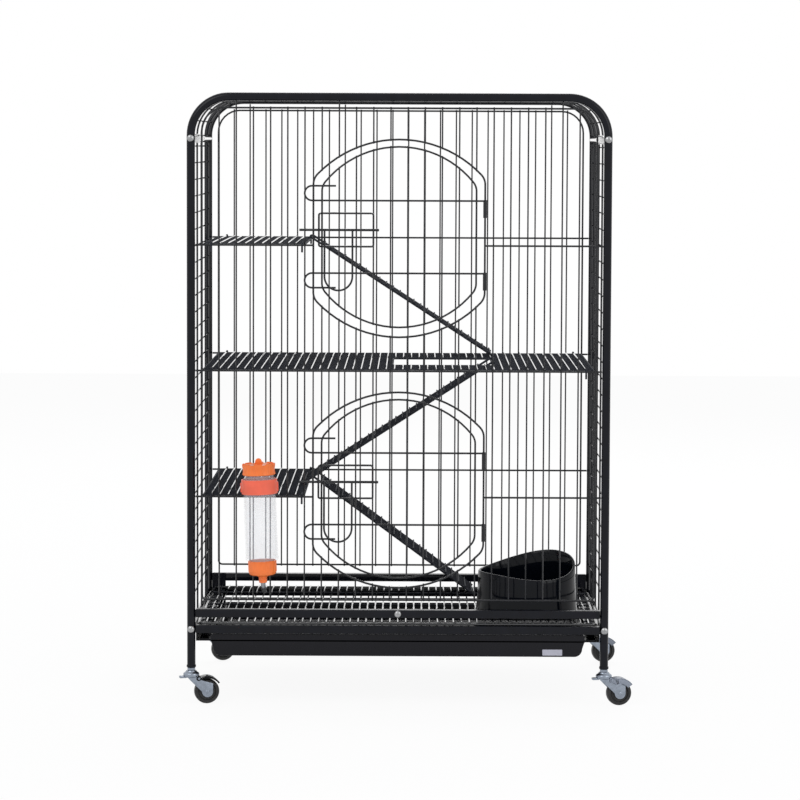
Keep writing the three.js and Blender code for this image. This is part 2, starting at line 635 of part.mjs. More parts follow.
/** The top grille: bars bent like the arch, with straight wires across them from frame to frame. */
function topGrille() {
  const radius = ARCH_BEND_RADIUS - WELDED;
  const foot = SIDE_BAR_Z + TUBE_R + GAP;
  const startDeg = THREE.MathUtils.radToDeg(Math.asin(Math.max(0, foot - ARCH_BEND_Z) / radius));
  const bend = (reach) => arc(ARCH_BEND_X, ARCH_BEND_Z, reach, startDeg, 90, TUBE_BEND_STEPS);
  const legs = foot < ARCH_BEND_Z ? [[ARCH_BEND_X + radius, foot]] : [];
  const half = [...legs, ...bend(radius)];
  const outline = [...half, ...half.map(([x, z]) => [-x, z]).reverse()];
  const bars = uprightYs.map((y) => pipe(outline.map(inXZ(y)), BAR_R));
  const across = (x, z, sides) => bar(v3(x, -INNER_Y, z), v3(x, INNER_Y, z), WIRE_R, sides);
  const flatXs = backWireXs.filter((x) => Math.abs(x) < ARCH_BEND_X);
  const flat = flatXs.map((x) => across(x, ARCH_BEND_Z + ARCH_BEND_RADIUS, WIRE_SIDES));
  const [cornerX, cornerZ] = bend(ARCH_BEND_RADIUS)[TUBE_BEND_STEPS / 2];
  const corners = [-cornerX, cornerX].map((x) => across(x, cornerZ, 8));
  return join([...bars, ...flat, ...corners]);
}

piece("top_grille", topGrille(), WIRE_PAINT);

// ---------------------------------------------------------------- doors and latches

const PANEL_Y = -LEG_Y;
const DOOR_BAR_Y = PANEL_Y - 2 * BAR_R - GAP; // the bars pass in front of the ring
const DOOR_LOOP_Y = DOOR_BAR_Y + 2 * BAR_R - WELD;
const DOOR_WIRE_Y = DOOR_LOOP_Y + WELDED;
const LATCH_Y = DOOR_LOOP_Y - BAR_R - GAP - LATCH_BAR_DIAMETER / 2;
const KEEPER_Y = LATCH_Y - LATCH_BAR_DIAMETER / 2 - GAP - BAR_R;
const DOOR_HALF = RING_HALF - DOOR_SIDE_GAP;

/** A door: its loop, upright wires, two bars with curled stops, two hinge clips and the latch's guide. */
function door(centreZ) {
  const low = centreZ - RING_HEIGHT / 2 + DOOR_FOOT_GAP;
  const high = centreZ + RING_HEIGHT / 2 - DOOR_TOP_GAP;
  const loop = barrel(DOOR_HALF, low, high);
  const parts = [pipe(loop.points.map(inXZ(DOOR_LOOP_Y)), BAR_R, { closed: true })];
  for (const x of frontWireXs.filter((place) => Math.abs(place) < DOOR_HALF - 2 * BAR_DIAMETER)) {
    const foot = v3(x, DOOR_WIRE_Y, loop.footAt(x) - WIRE_OVERRUN);
    parts.push(bar(foot, v3(x, DOOR_WIRE_Y, loop.topAt(x) + WIRE_OVERRUN), WIRE_R));
  }
  for (const offset of DOOR_BAR_OFFSETS) {
    parts.push(doorBar(centreZ + offset, Math.sign(offset)));
    parts.push(hingeClip(centreZ + offset));
  }
  parts.push(latchGuide(centreZ + GUIDE_OFFSET_Z));
  return join(parts);
}

/** A cross bar from the hinge line to past the ring, where it curls back as a stop. */
function doorBar(z, curl) {
  const bendX = -RING_HALF - STOP_LENGTH + STOP_RADIUS;
  const turn = arc(bendX, z + curl * STOP_RADIUS, STOP_RADIUS, -curl * 90, -curl * 270, 5);
  const end = [bendX + STOP_RETURN, z + 2 * curl * STOP_RADIUS];
  return pipe([[RING_HALF - BAR_R, z], ...turn, end].map(inXZ(DOOR_BAR_Y)), BAR_R);
}

/** A sheet clip, wrapped round the ring's straight side below a bar, free to turn on it. */
function hingeClip(barZ) {
  const bore = RING_R + CLIP_CLEARANCE;
  const [foot, top] = [barZ - CLIP_HEIGHT + BAR_R, barZ + BAR_R];
  const wrap = turned(
    [
      [bore, foot],
      [bore + CLIP_WALL, foot],
      [bore + CLIP_WALL, top],
      [bore, top],
    ],
    8,
    true,
  );
  return wrap.translate([RING_HALF, PANEL_Y, 0]);
}

/** A wire loop on the door whose two sides stand forward, so that the slide bar runs behind them. */
function latchGuide(z) {
  const left = -DOOR_HALF - GUIDE_LEFT_OVERLAP;
  const right = left + GUIDE_WIDTH;
  const low = [left, z - GUIDE_HEIGHT / 2];
  const high = [right, z + GUIDE_HEIGHT / 2];
  const outline = roundedOutline(low, high, GUIDE_CORNER, GUIDE_CORNER, 1);
  const isSide = (x) => x < left + GUIDE_CORNER / 2 || x > right - GUIDE_CORNER / 2;
  const points = outline.map(([x, pz]) => v3(x, isSide(x) ? KEEPER_Y : DOOR_LOOP_Y, pz));
  return pipe(points, BAR_R, { closed: true });
}

/** The slide bar with its end knob and the U-shaped pull that hangs from it. */
function latch(centreZ) {
  const z = centreZ + GUIDE_OFFSET_Z;
  const left = -RING_HALF - LATCH_BAR_REACH;
  const right = left + LATCH_BAR_LENGTH;
  const radius = LATCH_BAR_DIAMETER / 2;
  const slide = bar(v3(left, LATCH_Y, z), v3(right, LATCH_Y, z), radius, 6);
  const knobStart = v3(right - LATCH_KNOB_LENGTH / 2, LATCH_Y, z);
  const knobEnd = v3(right + LATCH_KNOB_LENGTH / 2, LATCH_Y, z);
  const knob = bar(knobStart, knobEnd, LATCH_KNOB_DIAMETER / 2, 6);
  const legX = -DOOR_HALF + PULL_FROM_LOOP;
  const bend = PULL_WIDTH / 2;
  const footZ = z - PULL_LENGTH + bend;
  const pull = [
    [legX, z + BAR_R],
    ...arc(legX + bend, footZ, bend, 180, 360, 7),
    [legX + PULL_WIDTH, z + BAR_R],
  ];
  const pullY = LATCH_Y - radius - BAR_R + 2 * WELD;
  return join([slide, knob, pipe(pull.map(inXZ(pullY)), BAR_R)]);
}

for (const [doorName, z] of Object.entries(DOOR_CENTRES_Z)) {
  piece(`${doorName}_door`, door(z), WIRE_PAINT);
  piece(`${doorName}_door_latch`, latch(z), WIRE_PAINT);
}

// ---------------------------------------------------------------- decks

const DECK_HALF_DEPTH = LEG_Y - WELDED - WIRE_R - GAP - EDGE_R;
const HOOK_RISE = 2 * BAR_R + GAP; // a hook's axis over the bar that it hangs on
const DECK_RISE = HOOK_RISE - EDGE_R - BAR_R + WELD; // a deck's edge wire over that bar
const DECK_WIRE_RISE = EDGE_R + WIRE_R - WELD; // its close wires over the edge wire
const DECK_TOP_RISE = DECK_RISE + DECK_WIRE_RISE + WIRE_R;
const DECK_LEFT = -LEG_X + DECK_SIDE_GAP;
const HOOK_ROOM = EDGE_R + LADDER_WIRE_DIAMETER + WIRE_DIAMETER + 2 * GAP; // for a ladder's hooks beside a wire

/** A wire deck between the end panels, hooked over their bars, with an optional opening. */
function deck(x0, x1, barZ, pitch, crossWires, opening) {
  const z = barZ + DECK_RISE;
  const outline = roundedOutline([x0, -DECK_HALF_DEPTH], [x1, DECK_HALF_DEPTH], DECK_CORNER, DECK_CORNER, 2);
  const parts = [pipe(outline.map(inXY(z)), EDGE_R, { closed: true })];
  const bays = Math.round((x1 - x0) / pitch);
  const step = (x1 - x0) / bays;
  for (let i = 1; i < bays; i += 1) parts.push(...deckWire(x0 + i * step, z + DECK_WIRE_RISE, opening));
  const crossZ = z + EDGE_R - BAR_R;
  for (const y of crossWires) parts.push(bar(v3(x0, y, crossZ), v3(x1, y, crossZ), BAR_R));
  for (const x of opening ? [opening.left, opening.right] : []) {
    parts.push(bar(v3(x, opening.front, z), v3(x, opening.back, z), EDGE_R));
  }
  for (const x of [x0 + HOOK_INSET, x1 - HOOK_INSET]) {
    for (const face of Object.values(FACES)) parts.push(deckHook(x, face, barZ));
  }
  return join(parts);
}

/** A close wire of a deck, in two stretches where it meets the opening. */
function deckWire(x, z, opening) {
  const [front, back] = [-DECK_HALF_DEPTH - EDGE_R, DECK_HALF_DEPTH + EDGE_R];
  const cut = opening && x > opening.left - HOOK_ROOM && x < opening.right + HOOK_ROOM;
  if (!cut) return [bar(v3(x, front, z), v3(x, back, z), WIRE_R)];
  return [
    bar(v3(x, front, z), v3(x, opening.front + WIRE_OVERRUN, z), WIRE_R),
    bar(v3(x, opening.back - WIRE_OVERRUN, z), v3(x, back, z), WIRE_R),
  ];
}

/** A hook wire: along the deck, over the end panel's bar and down outside it. */
function deckHook(x, face, barZ) {
  const z = barZ + HOOK_RISE;
  const outside = face * (LEG_Y + 2 * BAR_R + GAP);
  const start = face * (DECK_HALF_DEPTH - HOOK_LENGTH);
  const bend = face * BAR_R;
  return pipe([[start, z], [outside - bend, z], [outside, z - BAR_R], [outside, z - HOOK_DROP]].map(inYZ(x)), BAR_R);
}

const shelf = (barZ) => deck(DECK_LEFT, DECK_LEFT + SHELF_WIDTH, barZ, SHELF_PITCH, SHELF_CROSS_WIRES, null);
const platform = deck(
  DECK_LEFT,
  -DECK_LEFT,
  MIDDLE_BAR_Z,
  PLATFORM_PITCH,
  [PLATFORM_OPENING.front, PLATFORM_OPENING.back],
  PLATFORM_OPENING,
);
piece("upper_shelf", shelf(UPPER_BAR_Z), WIRE_PAINT);
piece("middle_platform", platform, WIRE_PAINT);
piece("lower_shelf", shelf(LOWER_BAR_Z), WIRE_PAINT);

// ---------------------------------------------------------------- grate and tray

const GRATE_R = GRATE_EDGE_DIAMETER / 2;
const GRATE_Z = LOWER_RAIL_Z + TUBE_R + GAP + GRATE_R;
const GRATE_WIRE_Z = GRATE_Z + GRATE_R + WIRE_R - WELD;
const GRATE_TOP_Z = GRATE_WIRE_Z + WIRE_R;

/** The floor grate: it lies on the runners and slides out between the two front rails. */
function floorGrate() {
  const half = INNER_X - GRATE_SIDE_GAP - GRATE_R;
  const [front, back] = [-LEG_Y, INNER_Y - RUNNER_WALL - GRATE_REAR_GAP - GRATE_R];
  const outline = roundedOutline([-half, front], [half, back], DECK_CORNER, DECK_CORNER, 2);
  const parts = [pipe(outline.map(inXY(GRATE_Z)), GRATE_R, { closed: true })];
  for (const x of places(half, GRATE_PITCH).slice(1, -1)) {
    parts.push(bar(v3(x, front - GRATE_R, GRATE_WIRE_Z), v3(x, back + GRATE_R, GRATE_WIRE_Z), WIRE_R));
  }
  const crossZ = GRATE_Z + GRATE_R - BAR_R;
  for (const y of GRATE_CROSS_WIRES) parts.push(bar(v3(-half, y, crossZ), v3(half, y, crossZ), BAR_R));
  return join(parts);
}

/** The tray: a drafted pan with round lower edges, side lips on the runners and a higher front wall. */
function tray() {
  const lipZ = RUNNER_FOOT_Z + RUNNER_WALL + TRAY_LIP_LIFT;
  const rimZ = lipZ + TRAY_WALL;
  const half = INNER_X - RUNNER_WIDTH - TRAY_SIDE_GAP;
  const [front, back] = [-LEG_Y - TRAY_FRONT_OVERHANG, INNER_Y - RUNNER_WALL - GRATE_REAR_GAP];
  const panProfile = (wall, top) => {
    const reach = half - wall - TRAY_DRAFT;
    const floor = rimZ - TRAY_DEPTH + wall;
    const corner = TRAY_CORNER - wall;
    return [
      [half - wall, top],
      [-half + wall, top],
      ...arc(-reach + corner, floor + corner, corner, 180, 270, 3),
      ...arc(reach - corner, floor + corner, corner, 270, 360, 3),
    ];
  };
  const pan = plateXZ(panProfile(0, rimZ), front, back, null);
  const hollow = plateXZ(panProfile(TRAY_WALL, rimZ + 1), front + TRAY_WALL, back - TRAY_WALL, null);
  const fascia = box(-half, half, front, front + TRAY_WALL, lipZ, rimZ + TRAY_FASCIA_TOP);
  const lipFront = -INNER_Y;
  const lips = [-1, 1].map((side) => {
    const [a, b] = [side * (half - TRAY_WALL), side * (half + TRAY_LIP)];
    return box(Math.min(a, b), Math.max(a, b), lipFront, back, lipZ, rimZ);
  });
  return join([pan.subtract(hollow), fascia, ...lips]);
}

piece("floor_grate", floorGrate(), WIRE_PAINT);
piece("tray", tray(), BLACK_PLASTIC);

// ---------------------------------------------------------------- ladders

/** A ladder that hooks over an edge wire and leans down to its foot: two wires with rungs across them. */
function ladder(edge, foot, centreY) {
  const wire = LADDER_WIRE_DIAMETER / 2;
  const hookRadius = EDGE_R + GAP + wire;
  const side = Math.sign(foot.x - edge.x);
  const [run, fall] = [Math.abs(foot.x - edge.x), edge.z - foot.z];
  const distance = Math.hypot(run, fall);
  const slope = Math.atan2(fall, run) + Math.asin(hookRadius / distance);
  const slopeDeg = THREE.MathUtils.radToDeg(slope);
  const length = Math.sqrt(distance ** 2 - hookRadius ** 2);
  // drawn level, leaning to +X from the edge wire at the origin, then tilted and put in place
  const hook = arc(0, 0, hookRadius, 90, 180 + LADDER_TAIL_DEG + slopeDeg, 5);
  const parts = [];
  for (const y of [-LADDER_WIDTH / 2, LADDER_WIDTH / 2]) {
    parts.push(pipe([[length, hookRadius], ...hook].map(inXZ(y)), wire));
  }
  const rungZ = hookRadius + wire + RUNG_DIAMETER / 2 - WELD;
  for (let i = 0; i < RUNG_COUNT; i += 1) {
    const x = (length * (i + 0.6)) / RUNG_COUNT;
    const reach = LADDER_WIDTH / 2 + WIRE_OVERRUN + wire;
    parts.push(bar(v3(x, -reach, rungZ), v3(x, reach, rungZ), RUNG_DIAMETER / 2));
  }
  const longZ = rungZ - RUNG_DIAMETER / 2 - WIRE_DIAMETER / 2 + WELD;
  for (const y of places(LADDER_WIDTH / 2, LADDER_WIDTH / (LADDER_LONG_WIRES + 1)).slice(1, -1)) {
    const [from, to] = [0.6, RUNG_COUNT - 0.4].map((share) => (length * share) / RUNG_COUNT);
    parts.push(bar(v3(from - WIRE_OVERRUN, y, longZ), v3(to + WIRE_OVERRUN, y, longZ), WIRE_DIAMETER / 2));
  }
  const level = join(parts);
  const leaning = level.rotate([0, slopeDeg, 0]);
  const turnedRound = side < 0 ? leaning.rotate([0, 0, 180]) : leaning;
  return turnedRound.translate([edge.x, centreY, edge.z]);
}

const LADDER_LIFT = LADDER_WIRE_DIAMETER / 2 + GAP;
const BACK_LADDERS_Y = LEG_Y - BACK_LADDERS_INSET;
const shelfEdgeX = DECK_LEFT + SHELF_WIDTH;
const topLadder = ladder(
  { x: shelfEdgeX, z: UPPER_BAR_Z + DECK_RISE },
  { x: TOP_LADDER_FOOT_X, z: MIDDLE_BAR_Z + DECK_TOP_RISE + LADDER_LIFT },
  BACK_LADDERS_Y,
);
const middleLadder = ladder(
  { x: PLATFORM_OPENING.right, z: MIDDLE_BAR_Z + DECK_RISE },
  { x: shelfEdgeX - MIDDLE_LADDER_OVERLAP, z: LOWER_BAR_Z + DECK_TOP_RISE + LADDER_LIFT },
  MIDDLE_LADDER_Y,
);
const bottomLadder = ladder(
  { x: shelfEdgeX, z: LOWER_BAR_Z + DECK_RISE },
  { x: BOTTOM_LADDER_FOOT_X, z: GRATE_TOP_Z + LADDER_LIFT },
  BACK_LADDERS_Y,
);
piece("top_ladder", topLadder, WIRE_PAINT);
piece("middle_ladder", middleLadder, WIRE_PAINT);
piece("bottom_ladder", bottomLadder, WIRE_PAINT);

// ---------------------------------------------------------------- casters

const WHEEL_R = WHEEL_DIAMETER / 2;
const WHEEL_FLAT_R = WHEEL_R / Math.cos(Math.PI / WHEEL_SIDES); // so that a flat of the tread is on the floor
const FORK_INNER_Y = WHEEL_WIDTH / 2 + FORK_SIDE_GAP;
const FORK_OUTER_Y = FORK_INNER_Y + FORK_WALL;
const CUP_FOOT_Z = CUP_TOP_Z - CUP_HEIGHT;

/** The stem: a spindle up into the leg, a nut under it, and the pivot that carries the fork. */
function casterStem() {
  const [spindle, nut] = [STEM_DIAMETER / 2, STEM_NUT_DIAMETER / 2];
  const [pivot, head] = [STEM_PIVOT_DIAMETER / 2, STEM_HEAD_DIAMETER / 2];
  const headTop = CUP_FOOT_Z - GAP;
  const profile = [
    [0, headTop - STEM_HEAD_HEIGHT],
    [head, headTop - STEM_HEAD_HEIGHT],
    [head, headTop],
    [pivot, headTop],
    [pivot, CUP_TOP_Z + GAP],
    [nut, CUP_TOP_Z + GAP],
    [nut, LEG_FOOT_Z - GAP],
    [spindle, LEG_FOOT_Z - GAP],
    [spindle, LEG_FOOT_Z + STEM_INSERTION],
    [0, LEG_FOOT_Z + STEM_INSERTION],
  ];
  return turned(profile, 8);
}

/** The fork: bearing cup, crown plate, two legs, the wheel's axle and the pedal's pin. */
function casterFork() {
  const cupR = CUP_DIAMETER / 2;
  const bore = STEM_PIVOT_DIAMETER / 2 + GAP;
  const cup = turned(
    [
      [bore, CUP_FOOT_Z],
      [cupR, CUP_FOOT_Z],
      [cupR, CUP_FOOT_Z + CUP_HEIGHT * 0.6],
      [cupR * 0.62, CUP_TOP_Z],
      [bore, CUP_TOP_Z],
    ],
    8,
    true,
  );
  const crownTop = CUP_FOOT_Z + CROWN_THICKNESS;
  const hub = arc(CASTER_TRAIL, WHEEL_R, FORK_HUB_RADIUS, 0, -180, 4);
  const legOutline = [
    [-FORK_LEG_REAR, CUP_FOOT_Z - CROWN_THICKNESS / 2],
    [-FORK_LEG_REAR, crownTop],
    [CROWN_FRONT - CROWN_THICKNESS / 4, crownTop],
    [FORK_SHOULDER_X, FORK_SHOULDER_Z],
    [CASTER_TRAIL + FORK_HUB_RADIUS, FORK_NOSE_Z],
    ...hub,
  ];
  const parts = [cup];
  for (const side of [-1, 1]) {
    const [a, b] = [side * FORK_INNER_Y, side * FORK_OUTER_Y];
    parts.push(plateXZ(legOutline, Math.min(a, b), Math.max(a, b), null));
  }
  parts.push(crown(bore, crownTop));
  const axle = AXLE_DIAMETER / 2;
  const axleReach = FORK_OUTER_Y + RIVET_REACH;
  parts.push(bar(v3(CASTER_TRAIL, -axleReach, WHEEL_R), v3(CASTER_TRAIL, axleReach, WHEEL_R), axle, 6));
  const { x, z } = PEDAL_PIVOT;
  const pinReach = FORK_OUTER_Y + GAP + PEDAL_WALL + RIVET_REACH;
  for (const side of [-1, 1]) {
    const from = v3(x, side * (FORK_INNER_Y + 0.2), z);
    parts.push(bar(from, v3(x, side * pinReach, z), PEDAL_PIN_DIAMETER / 2, 6));
  }
  return join(parts);
}

/** The crown plate between the fork's legs, with the lug of the swivel lock at its rear. */
function crown(bore, top) {
  const plate = box(-CROWN_REAR, CROWN_FRONT, -FORK_OUTER_Y, FORK_OUTER_Y, CUP_FOOT_Z, top);
  const rear = -CROWN_REAR - LUG_LENGTH;
  const lug = box(rear, 1 - CROWN_REAR, -LUG_WIDTH / 2, LUG_WIDTH / 2, top - LUG_THICKNESS, top);
  const hole = bar(v3(0, 0, CUP_FOOT_Z - 2), v3(0, 0, top + 1), bore, 10);
  return plate.add(lug).subtract(hole);
}

/** The wheel, bored for its axle, lying across the fork. */
function casterWheel() {
  const half = WHEEL_WIDTH / 2;
  const bore = AXLE_DIAMETER / 2 + GAP;
  const shoulder = WHEEL_FLAT_R - WHEEL_CHAMFER;
  const profile = [
    [bore, -half],
    [shoulder, -half],
    [WHEEL_FLAT_R, -half + WHEEL_CHAMFER],
    [WHEEL_FLAT_R, half - WHEEL_CHAMFER],
    [shoulder, half],
    [bore, half],
  ];
  const upright = turned(profile, WHEEL_SIDES, true).rotate([0, 0, 180 / WHEEL_SIDES]).rotate([90, 0, 0]);
  return upright.translate([CASTER_TRAIL, 0, WHEEL_R]);
}

/** The brake pedal: a curved strip over the wheel with side skirts and ears on the fork's pins. */
function brakePedal(skirt) {
  const inner = WHEEL_FLAT_R + PEDAL_CLEARANCE;
  const outer = inner + PEDAL_WALL;
  const sector = (low) => [
    ...arc(CASTER_TRAIL, WHEEL_R, outer, PEDAL_TO_DEG, PEDAL_FROM_DEG, 4),
    ...arc(CASTER_TRAIL, WHEEL_R, low, PEDAL_FROM_DEG, PEDAL_TO_DEG, 4),
  ];
  const reach = FORK_OUTER_Y + GAP + PEDAL_WALL;
  const strip = plateXZ(sector(inner), -reach, reach, null);
  const { x, z } = PEDAL_PIVOT;
  const parts = [strip];
  const hole = arc(x, z, PEDAL_PIN_DIAMETER / 2 + GAP, 0, 300, 5);
  const ear = arc(x, z, PEDAL_EAR_RADIUS, 70, 290, 5);
  const startDeg = PEDAL_FROM_DEG - 14;
  const bridge = [
    ...arc(CASTER_TRAIL, WHEEL_R, inner + PEDAL_WALL / 2, startDeg, PEDAL_FROM_DEG, 1),
    ...ear,
    ...arc(CASTER_TRAIL, WHEEL_R, outer - skirt, PEDAL_FROM_DEG, startDeg, 1),
  ];
  for (const side of [-1, 1]) {
    const [a, b] = [side * (reach - PEDAL_WALL), side * reach];
    const [y0, y1] = [Math.min(a, b), Math.max(a, b)];
    parts.push(plateXZ(sector(outer - skirt), y0, y1, null));
    parts.push(plateXZ(bridge, y0, y1, hole));
  }
  return join(parts);
}

for (const [faceName, face] of Object.entries(FACES)) {
  for (const [sideName, side] of Object.entries(SIDES)) {
    const caster = new THREE.Group();
    caster.position.set(side * LEG_X, face * LEG_Y, 0);
    caster.rotation.z = THREE.MathUtils.degToRad(CASTER_TURN_DEG);
    cage.add(caster);
    const name = `${faceName}_${sideName}`;
    const isPlain = name === "front_left";
    const skirt = isPlain ? PEDAL_SKIRT.shallow : PEDAL_SKIRT.deep;
    piece(`${name}_caster_stem`, casterStem(), ZINC, caster);
    piece(`${name}_caster_fork`, casterFork(), ZINC, caster);
    piece(`${name}_caster_wheel`, casterWheel(), RUBBER, caster);
    piece(`${name}_brake_pedal`, brakePedal(skirt), isPlain ? BLACK_PLASTIC : GREY_PLASTIC, caster);
  }
}

// ---------------------------------------------------------------- drinking bottle

const bottle = new THREE.Group();
const bottleX = (frontWireXs[BOTTLE_BAY] + frontWireXs[BOTTLE_BAY + 1]) / 2;
bottle.position.set(bottleX, PANEL_Y - BOTTLE_FROM_PANEL, BOTTLE_LEAN_Z);
bottle.rotation.y = THREE.MathUtils.degToRad(-BOTTLE_LEAN_DEG);
cage.add(bottle);

/** Adds a piece of the bottle, drawn about the bottle's axis at its true height. */
const bottlePiece = (name, made, finish) =>
  piece(name, made.translate([0, 0, -BOTTLE_LEAN_Z]), finish, bottle);

/** The clear tube, open at both ends, with a neck for each cap. */
function bottleTube() {
  const [outer, upper, lower] = [BOTTLE_DIAMETER / 2, BOTTLE_NECK_DIAMETER / 2, BOTTLE_LOWER_NECK_DIAMETER / 2];
  const wall = BOTTLE_WALL;
  return turned(
    [
      [lower - wall, BOTTLE_FOOT_Z - BOTTLE_LOWER_NECK_HEIGHT],
      [lower, BOTTLE_FOOT_Z - BOTTLE_LOWER_NECK_HEIGHT],
      [lower, BOTTLE_FOOT_Z],
      [outer, BOTTLE_FOOT_Z],
      [outer, BOTTLE_SHOULDER_Z],
      [upper, BOTTLE_SHOULDER_Z],
      [upper, BOTTLE_SHOULDER_Z + BOTTLE_NECK_HEIGHT],
      [upper - wall, BOTTLE_SHOULDER_Z + BOTTLE_NECK_HEIGHT],
      [upper - wall, BOTTLE_SHOULDER_Z - wall],
      [outer - wall, BOTTLE_SHOULDER_Z - wall],
      [outer - wall, BOTTLE_FOOT_Z + wall],
      [lower - wall, BOTTLE_FOOT_Z + wall],
    ],
    BOTTLE_SIDES,
    true,
  );
}

/** The top cap: it goes over the tube's neck and carries a tab. */
function topCap() {
  const [outer, recess] = [TOP_CAP_DIAMETER / 2, BOTTLE_NECK_DIAMETER / 2 + GAP];
  const neckTop = BOTTLE_SHOULDER_Z + BOTTLE_NECK_HEIGHT + GAP;
  const foot = neckTop + 2.5 - TOP_CAP_HEIGHT;
  const top = foot + TOP_CAP_HEIGHT;
  const shell = turned(
    [
      [recess, foot],
      [outer, foot],
      [outer - 0.8, foot + TOP_CAP_HEIGHT / 2],
      [outer, top + TOP_CAP_RIM],
      [outer - 3, top + TOP_CAP_RIM],
      [outer - 4, top],
      [0, top],
      [0, neckTop],
      [recess, neckTop],
    ],
    BOTTLE_SIDES,
    true,
  );
  const half = TAB_WIDTH / 2;
  const tabOutline = [[-half, top - 1], [half, top - 1], ...arc(0, top + TAB_HEIGHT - half + 2, half - 1.5, 0, 180, 4)];
  return shell.add(plateXZ(tabOutline, -TAB_THICKNESS / 2, TAB_THICKNESS / 2, null));
}

/** The holder: a band round the tube with two ears, clipped to the panel's wires behind it. */
function holderBand() {
  const inner = BOTTLE_DIAMETER / 2 + GAP;
  const outer = inner + BAND_WALL;
  const top = BAND_Z + BAND_HEIGHT;
  const ring = turned(
    [
      [inner, BAND_Z],
      [outer, BAND_Z],
      [outer, top],
      [inner, top],
    ],
    BOTTLE_SIDES,
    true,
  );
  const ears = [-1, 1].map((side) => {
    const [a, b] = [side * inner, (side * BAND_EAR_WIDTH) / 2];
    const [x0, x1] = [Math.min(a, b), Math.max(a, b)];
    const [z0, z1] = [BAND_Z + BAND_EAR_FOOT, top - BAND_EAR_HEAD];
    return box(x0, x1, -BAND_EAR_DEPTH / 2, BAND_EAR_DEPTH / 2, z0, z1);
  });
  const clipBack = BOTTLE_FROM_PANEL - BAR_R - GAP;
  const [clipFoot, clipTop] = [BAND_Z + BAND_CLIP_EDGE, top - BAND_CLIP_EDGE];
  const clip = box(-BAND_CLIP_WIDTH / 2, BAND_CLIP_WIDTH / 2, inner - 1, clipBack, clipFoot, clipTop);
  const bore = bar(v3(0, 0, BAND_Z - 1), v3(0, 0, top + 1), inner, BOTTLE_SIDES);
  return join([ring, ...ears, clip]).subtract(bore);
}

/** The bottom cap with the neck that the spout comes out of. */
function bottomCap() {
  const [outer, recess] = [BOTTOM_CAP_DIAMETER / 2, BOTTLE_LOWER_NECK_DIAMETER / 2 + GAP];
  const top = BOTTLE_FOOT_Z - GAP;
  const floor = BOTTLE_FOOT_Z - BOTTLE_LOWER_NECK_HEIGHT - GAP;
  const neck = SPOUT_NECK_DIAMETER / 2;
  const bore = SPOUT_DIAMETER / 2 + GAP;
  const neckTop = floor - BOTTOM_CAP_FLOOR;
  const foot = neckTop - SPOUT_NECK_HEIGHT;
  const [inset, rise, drop] = BOTTOM_CAP_SHOULDER;
  return turned(
    [
      [outer, top],
      [outer, floor + rise],
      [outer - inset, floor - drop],
      [neck, neckTop],
      [neck, foot],
      [bore, foot],
      [bore, floor],
      [recess, floor],
      [recess, top],
    ],
    BOTTLE_SIDES,
    true,
  );
}

/** The steel spout, out of the neck and bent into the cage. */
function spout() {
  const floor = BOTTLE_FOOT_Z - BOTTLE_LOWER_NECK_HEIGHT - GAP;
  const exit = floor - BOTTOM_CAP_FLOOR - SPOUT_NECK_HEIGHT;
  const bend = SPOUT_BEND.map(([reach, fall]) => [reach, exit - fall]);
  const tip = [SPOUT_REACH, bend.at(-1)[1] - SPOUT_DROP];
  const path = [[0, floor - 1], ...bend, tip];
  return pipe(path.map(inYZ(0)), SPOUT_DIAMETER / 2, { sides: SPOUT_SIDES });
}

bottlePiece("bottle_tube", bottleTube(), CLEAR);
bottlePiece("bottle_top_cap", topCap(), ORANGE);
bottlePiece("bottle_holder_band", holderBand(), RED_ORANGE);
bottlePiece("bottle_bottom_cap", bottomCap(), ORANGE);
bottlePiece("bottle_spout", spout(), SPOUT_STEEL);

// ---------------------------------------------------------------- food bowl

/** A closed skin over rings of points, its first and last ring closed by a middle point. */
function loft(skins) {
  const count = skins[0].length;
  const positions = skins.flat();
  const index = [];
  for (let r = 0; r + 1 < skins.length; r += 1) {
    for (let i = 0; i < count; i += 1) {
      const j = (i + 1) % count;
      const [a, b, c, d] = [r * count + i, r * count + j, (r + 1) * count + j, (r + 1) * count + i];
      index.push(a, b, c, a, c, d);
    }
  }
  for (const [r, turnedOver] of [[0, true], [skins.length - 1, false]]) {
    const middle = skins[r].reduce((sum, p) => sum.add(p), v3(0, 0, 0)).divideScalar(count);
    const hub = positions.push(middle) - 1;
    for (let i = 0; i < count; i += 1) {
      const [a, b] = [r * count + i, r * count + ((i + 1) % count)];
      index.push(...(turnedOver ? [hub, b, a] : [hub, a, b]));
    }
  }
  const geometry = new THREE.BufferGeometry().setFromPoints(positions);
  geometry.setIndex(index);
  return solid(geometry);
}

/** The bowl: an oval cup that widens to its foot, with a rim that rises to the back right. */
function foodBowl() {
  const ring = (inset, heightAt) =>
    Array.from({ length: BOWL_SIDES }, (_, i) => {
      const angle = (2 * Math.PI * i) / BOWL_SIDES;
      const x = (BOWL_WIDTH / 2 - inset) * Math.cos(angle);
      return v3(x, (BOWL_DEPTH / 2 - inset) * Math.sin(angle), heightAt(angle));
    });
  const high = THREE.MathUtils.degToRad(BOWL_TILT_DEG);
  const rim = (angle) => BOWL_HEIGHT + BOWL_TILT * Math.cos(angle - high) + BOWL_TWIST * Math.sin(2 * angle);
  const inside = BOWL_RIM_INSET + BOWL_WALL;
  return loft([
    ring(1, () => 0),
    ring(0, () => BOWL_FOOT_EDGE),
    ring(BOWL_RIM_INSET / 2, () => BOWL_FLARE_HEIGHT),
    ring(BOWL_RIM_INSET, rim),
    ring(inside, rim),
    ring(inside, () => BOWL_FLOOR + BOWL_FLOOR_ROUND),
    ring(inside + BOWL_FLOOR_ROUND, () => BOWL_FLOOR),
  ]);
}

